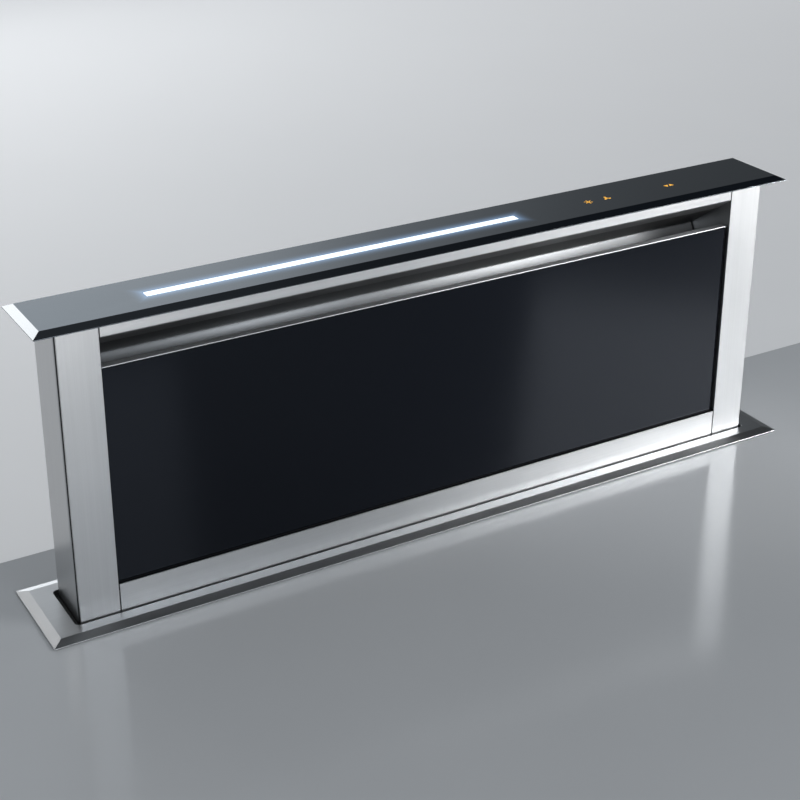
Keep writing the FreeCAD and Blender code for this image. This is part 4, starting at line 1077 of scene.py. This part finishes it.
def air_guide(steel):
    """Gently bowed sheet that leads the air from the intake gap down to the filters' heads."""
    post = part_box("post_left")[1].x
    width = 2 * (-post - GUIDE_GAP)
    lean, foot = (math.radians(degrees) for degrees in GUIDE_LEAN)
    head_y, head_z = GUIDE_HEAD
    centre = (0, head_y + GUIDE_R * math.cos(lean), head_z - GUIDE_R * math.sin(lean))
    middle = GUIDE_R - GUIDE_T / 2
    sheet = begin(
        "air_guide", bpy.ops.mesh.primitive_plane_add, size=1, rotation=(math.pi - lean, 0, 0),
        location=(0, centre[1] - middle * math.cos(lean), centre[2] + middle * math.sin(lean)),
    )
    sheet.scale = (width, GUIDE_T, 1)
    settle(sheet)
    edit_all()
    bpy.ops.mesh.delete(type="ONLY_FACE")
    bpy.ops.mesh.select_all(action="SELECT")
    bpy.ops.mesh.spin(steps=GUIDE_STEPS, angle=foot - lean, center=centre, axis=(1, 0, 0))
    bpy.ops.mesh.select_all(action="SELECT")
    bpy.ops.mesh.fill_holes(sides=4)
    bpy.ops.mesh.normals_make_consistent(inside=False)
    end_edit()
    apply_bevel(sheet, ROUND_FINE)
    give(sheet, "carriage", steel)


# Touch symbols


def disc(name, sides, radius):
    """A flat disc or triangle."""
    return begin(name, bpy.ops.mesh.primitive_circle_add, vertices=sides, radius=radius, fill_type="NGON")


def thicken(piece):
    """Settles a flat symbol and gives it its height."""
    settle(piece)
    edit_faces(piece, lambda face: True)
    push((0, 0, SYMBOL_T))
    end_edit()
    return piece


def ring_symbol(name, radius):
    """A ring of the symbols' line width."""
    ring = disc(name, RING_SIDES, radius)
    edit_faces(ring, lambda face: True)
    bpy.ops.mesh.inset(thickness=SYMBOL_LINE)
    bpy.ops.mesh.delete(type="FACE")
    bpy.ops.mesh.select_all(action="SELECT")
    push((0, 0, SYMBOL_T))
    end_edit()
    return ring


def light_symbol():
    """A ring with six rays."""
    pieces = [ring_symbol("symbol_light", LIGHT_RING_R)]
    for i in range(RAYS):
        turn = i * 2 * math.pi / RAYS
        ray = begin("ray", bpy.ops.mesh.primitive_plane_add, size=1)
        ray.scale = (SYMBOL_LINE, RAY_L, 1)
        ray.rotation_euler = (0, 0, turn)
        ray.location = (-RAY_REACH * math.sin(turn), RAY_REACH * math.cos(turn), 0)
        pieces.append(thicken(ray))
    return merge("symbol_light", pieces)


def fan_symbol():
    """Three blades about a small ring."""
    pieces = [ring_symbol("symbol_fan", FAN_RING_R)]
    for i in range(BLADES):
        turn = i * 2 * math.pi / BLADES
        blade = disc("blade", BLADE_SIDES, BLADE_R)
        blade.scale = (BLADE_SQUEEZE, 1.0, 1.0)
        blade.rotation_euler = (0, 0, turn + BLADE_LEAN)
        blade.location = (-BLADE_REACH * math.sin(turn), BLADE_REACH * math.cos(turn), 0)
        pieces.append(thicken(blade))
    return merge("symbol_fan", pieces)


def lift_symbol():
    """An arrow up and an arrow down, side by side."""
    pieces = []
    for side in (-1, 1):
        arrow = disc("symbol_lift", ARROW_SIDES, ARROW_R)
        arrow.rotation_euler = (0, 0, 0 if side > 0 else math.pi)
        arrow.location = (side * ARROW_REACH, 0, 0)
        pieces.append(thicken(arrow))
    return merge("symbol_lift", pieces)


def touch_symbols():
    """Lit signs in the cap's glass for light, fan and lift."""
    amber = amber_light()
    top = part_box("cap_glass")[1].z
    makers = {"light": light_symbol, "fan": fan_symbol, "lift": lift_symbol}
    for key, maker in makers.items():
        symbol = maker()
        symbol.location = (SYMBOL_PLACES[key], SYMBOL_BACK, top + SEAT)
        settle(symbol)
        face_outward()
        give(symbol, "carriage", amber)


# Stage


def board_finish():
    """Pale board with a polished face."""
    finish = Finish("stage_board_pale", (0.70, 0.71, 0.72), 0.14)
    grain = finish.noise(finish.place(), 3.0, 2.0)
    finish.colour(finish.tint(grain, (0.69, 0.70, 0.71), (0.71, 0.72, 0.73)))
    return finish.material


def floor_finish():
    """Pale floor with painted light: a glow seen only by the camera and in reflections, which grows lighter
    with distance, as a swept backdrop does.
    """
    finish = Finish("stage_floor_pale", (0.66, 0.67, 0.68), 0.6)
    grain = finish.noise(finish.place(), 3.0, 2.0)
    finish.colour(finish.tint(grain, (0.65, 0.66, 0.67), (0.67, 0.68, 0.69)))
    where = finish.add("SeparateXYZ")
    finish.join(finish.place(), where.inputs["Vector"])
    # Painted light: the floor glows for camera and glossy rays, more with distance.
    glow = finish.spread(where.outputs["Y"], FLOOR_NEAR, FLOOR_FAR, *FLOOR_BRIGHTENS)
    path = finish.add("LightPath")
    seen = finish.maths("MAXIMUM", path.outputs["Is Camera Ray"], path.outputs["Is Glossy Ray"])
    finish.set("Emission Color", (0.97, 0.98, 1.0, 1.0))
    finish.join(finish.maths("MULTIPLY", glow, seen), finish.shader.inputs["Emission Strength"])
    return finish.material


def worktop_board(material):
    """Pale board at worktop level, with the cut-out that the flange covers."""
    low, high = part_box("casing_rear")
    board = slab("stage_board", (-BOARD_HALF_W, BOARD_FRONT, -BOARD_T), (BOARD_HALF_W, BOARD_BACK, 0))
    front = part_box("casing_front")[0].y - CUTOUT_GAP
    hole = slab(
        "stage_hole", (low.x - CUTOUT_GAP, front, -2 * BOARD_T),
        (high.x + CUTOUT_GAP, high.y + CUTOUT_GAP, BOARD_T),
    )
    cut_out(board, hole)
    board.data.materials.append(material)


def floor(material):
    """Floor just under the casing's feet."""
    plane = begin("stage_floor", bpy.ops.mesh.primitive_plane_add, size=2 * FLOOR_HALF)
    plane.location = (0, 0, cad_box[0].z - FLOOR_DROP)
    settle(plane)
    plane.data.materials.append(material)


def lamp(name, kind, place, aim, spread, power, colour):
    """A soft rectangle of light, or a narrow beam on the tower's front that spares what is below it."""
    deselect()
    bpy.ops.object.light_add(type=kind, location=place)
    light = bpy.context.object
    light.name = name
    light.data.energy = power
    light.data.color = colour
    if kind == "AREA":
        light.data.shape = "RECTANGLE"
        light.data.size, light.data.size_y = spread
        light.visible_camera = False
    else:
        light.data.spot_size = math.radians(spread)
        light.data.spot_blend = BEAM_BLEND
        light.data.shadow_soft_size = BEAM_RADIUS
    way = [a - p for a, p in zip(aim, light.location)]
    flat = math.hypot(way[0], way[1])
    light.rotation_euler = (math.atan2(flat, -way[2]), 0, math.atan2(-way[0], way[1]))


def sky_light(world):
    """Daylight, brightest low down and a little to the right. The eye sees a plain backdrop instead."""
    world.use_nodes = True
    nodes = world.node_tree.nodes
    join = world.node_tree.links.new
    where = nodes.new("ShaderNodeTexCoord")
    way = nodes.new("ShaderNodeSeparateXYZ")
    join(where.outputs["Generated"], way.inputs["Vector"])
    product = nodes.new("ShaderNodeMath")
    product.operation = "MULTIPLY"
    for axis, stops, target in (("X", SKY_ACROSS, 0), ("Z", SKY_UP, 1)):
        unit = nodes.new("ShaderNodeMapRange")
        unit.inputs["From Min"].default_value = -1.0
        join(way.outputs[axis], unit.inputs["Value"])
        ramp = nodes.new("ShaderNodeFloatCurve")
        curve = ramp.mapping.curves[0]
        points = [((at + 1) / 2, level) for at, level in stops]
        curve.points[0].location, curve.points[1].location = points[0], points[-1]
        for point in points[1:-1]:
            curve.points.new(*point)
        ramp.mapping.update()
        join(unit.outputs["Result"], ramp.inputs["Value"])
        join(ramp.outputs["Value"], product.inputs[target])
    sky = nodes["Background"]
    sky.inputs["Color"].default_value = (*SKY_COLOUR, 1.0)
    strength = nodes.new("ShaderNodeMath")
    strength.operation = "MULTIPLY"
    strength.inputs[1].default_value = SKY_LEVEL
    join(product.outputs["Value"], strength.inputs[0])
    join(strength.outputs["Value"], sky.inputs["Strength"])
    backdrop = nodes.new("ShaderNodeBackground")
    backdrop.inputs["Color"].default_value = (*BACKDROP_COLOUR, 1.0)
    path = nodes.new("ShaderNodeLightPath")
    choice = nodes.new("ShaderNodeMixShader")
    join(path.outputs["Is Camera Ray"], choice.inputs["Fac"])
    join(sky.outputs["Background"], choice.inputs[1])
    join(backdrop.outputs["Background"], choice.inputs[2])
    join(choice.outputs["Shader"], nodes["World Output"].inputs["Surface"])


def studio():
    """Sky and lamps."""
    world = bpy.data.worlds.new("studio")
    bpy.context.scene.world = world
    sky_light(world)
    for settings in LAMPS:
        lamp(*settings)


def camera():
    """The photograph's view."""
    deselect()
    bpy.ops.object.camera_add(location=CAMERA_PLACE)
    eye = bpy.context.object
    eye.rotation_euler = (math.pi / 2 - CAMERA_DIP, 0, -CAMERA_TURN)
    eye.data.sensor_width = CAMERA_SENSOR
    eye.data.lens = CAMERA_FOCUS_PX / IMAGE_PX * CAMERA_SENSOR
    eye.data.shift_y = CAMERA_SHIFT
    bpy.context.scene.camera = eye


slots = dress_nodes()
cover_screws(slots["bright_steel"])
motor_screws(slots["bright_steel"])
bracket_screws(slots["bright_steel"])
casing_rivets(slots["aluminium"])
round_edges()
back_screws(slots["bright_steel"])
filter_rivets(slots["aluminium"])
casing_ribs(slots["zinc_sheet"])
cover_louvres(slots["dark_plastic"])
scroll_tabs(slots["zinc_sheet"], slots["bright_steel"])
outlet_frame(slots["zinc_sheet"])
duct_lip(slots["dark_plastic"])
motor_cap(slots["motor_paint"])
shadow_strips(slots["rubber"])
# The air guide's stainless is much darker in tone: painted shade inside the intake.
air_guide(brushed_stainless("stainless_guide_painted_shade", ACROSS, 0.23, 0.33))
touch_symbols()
worktop_board(board_finish())
floor(floor_finish())
studio()
camera()
bpy.context.scene.view_settings.view_transform = "Standard"
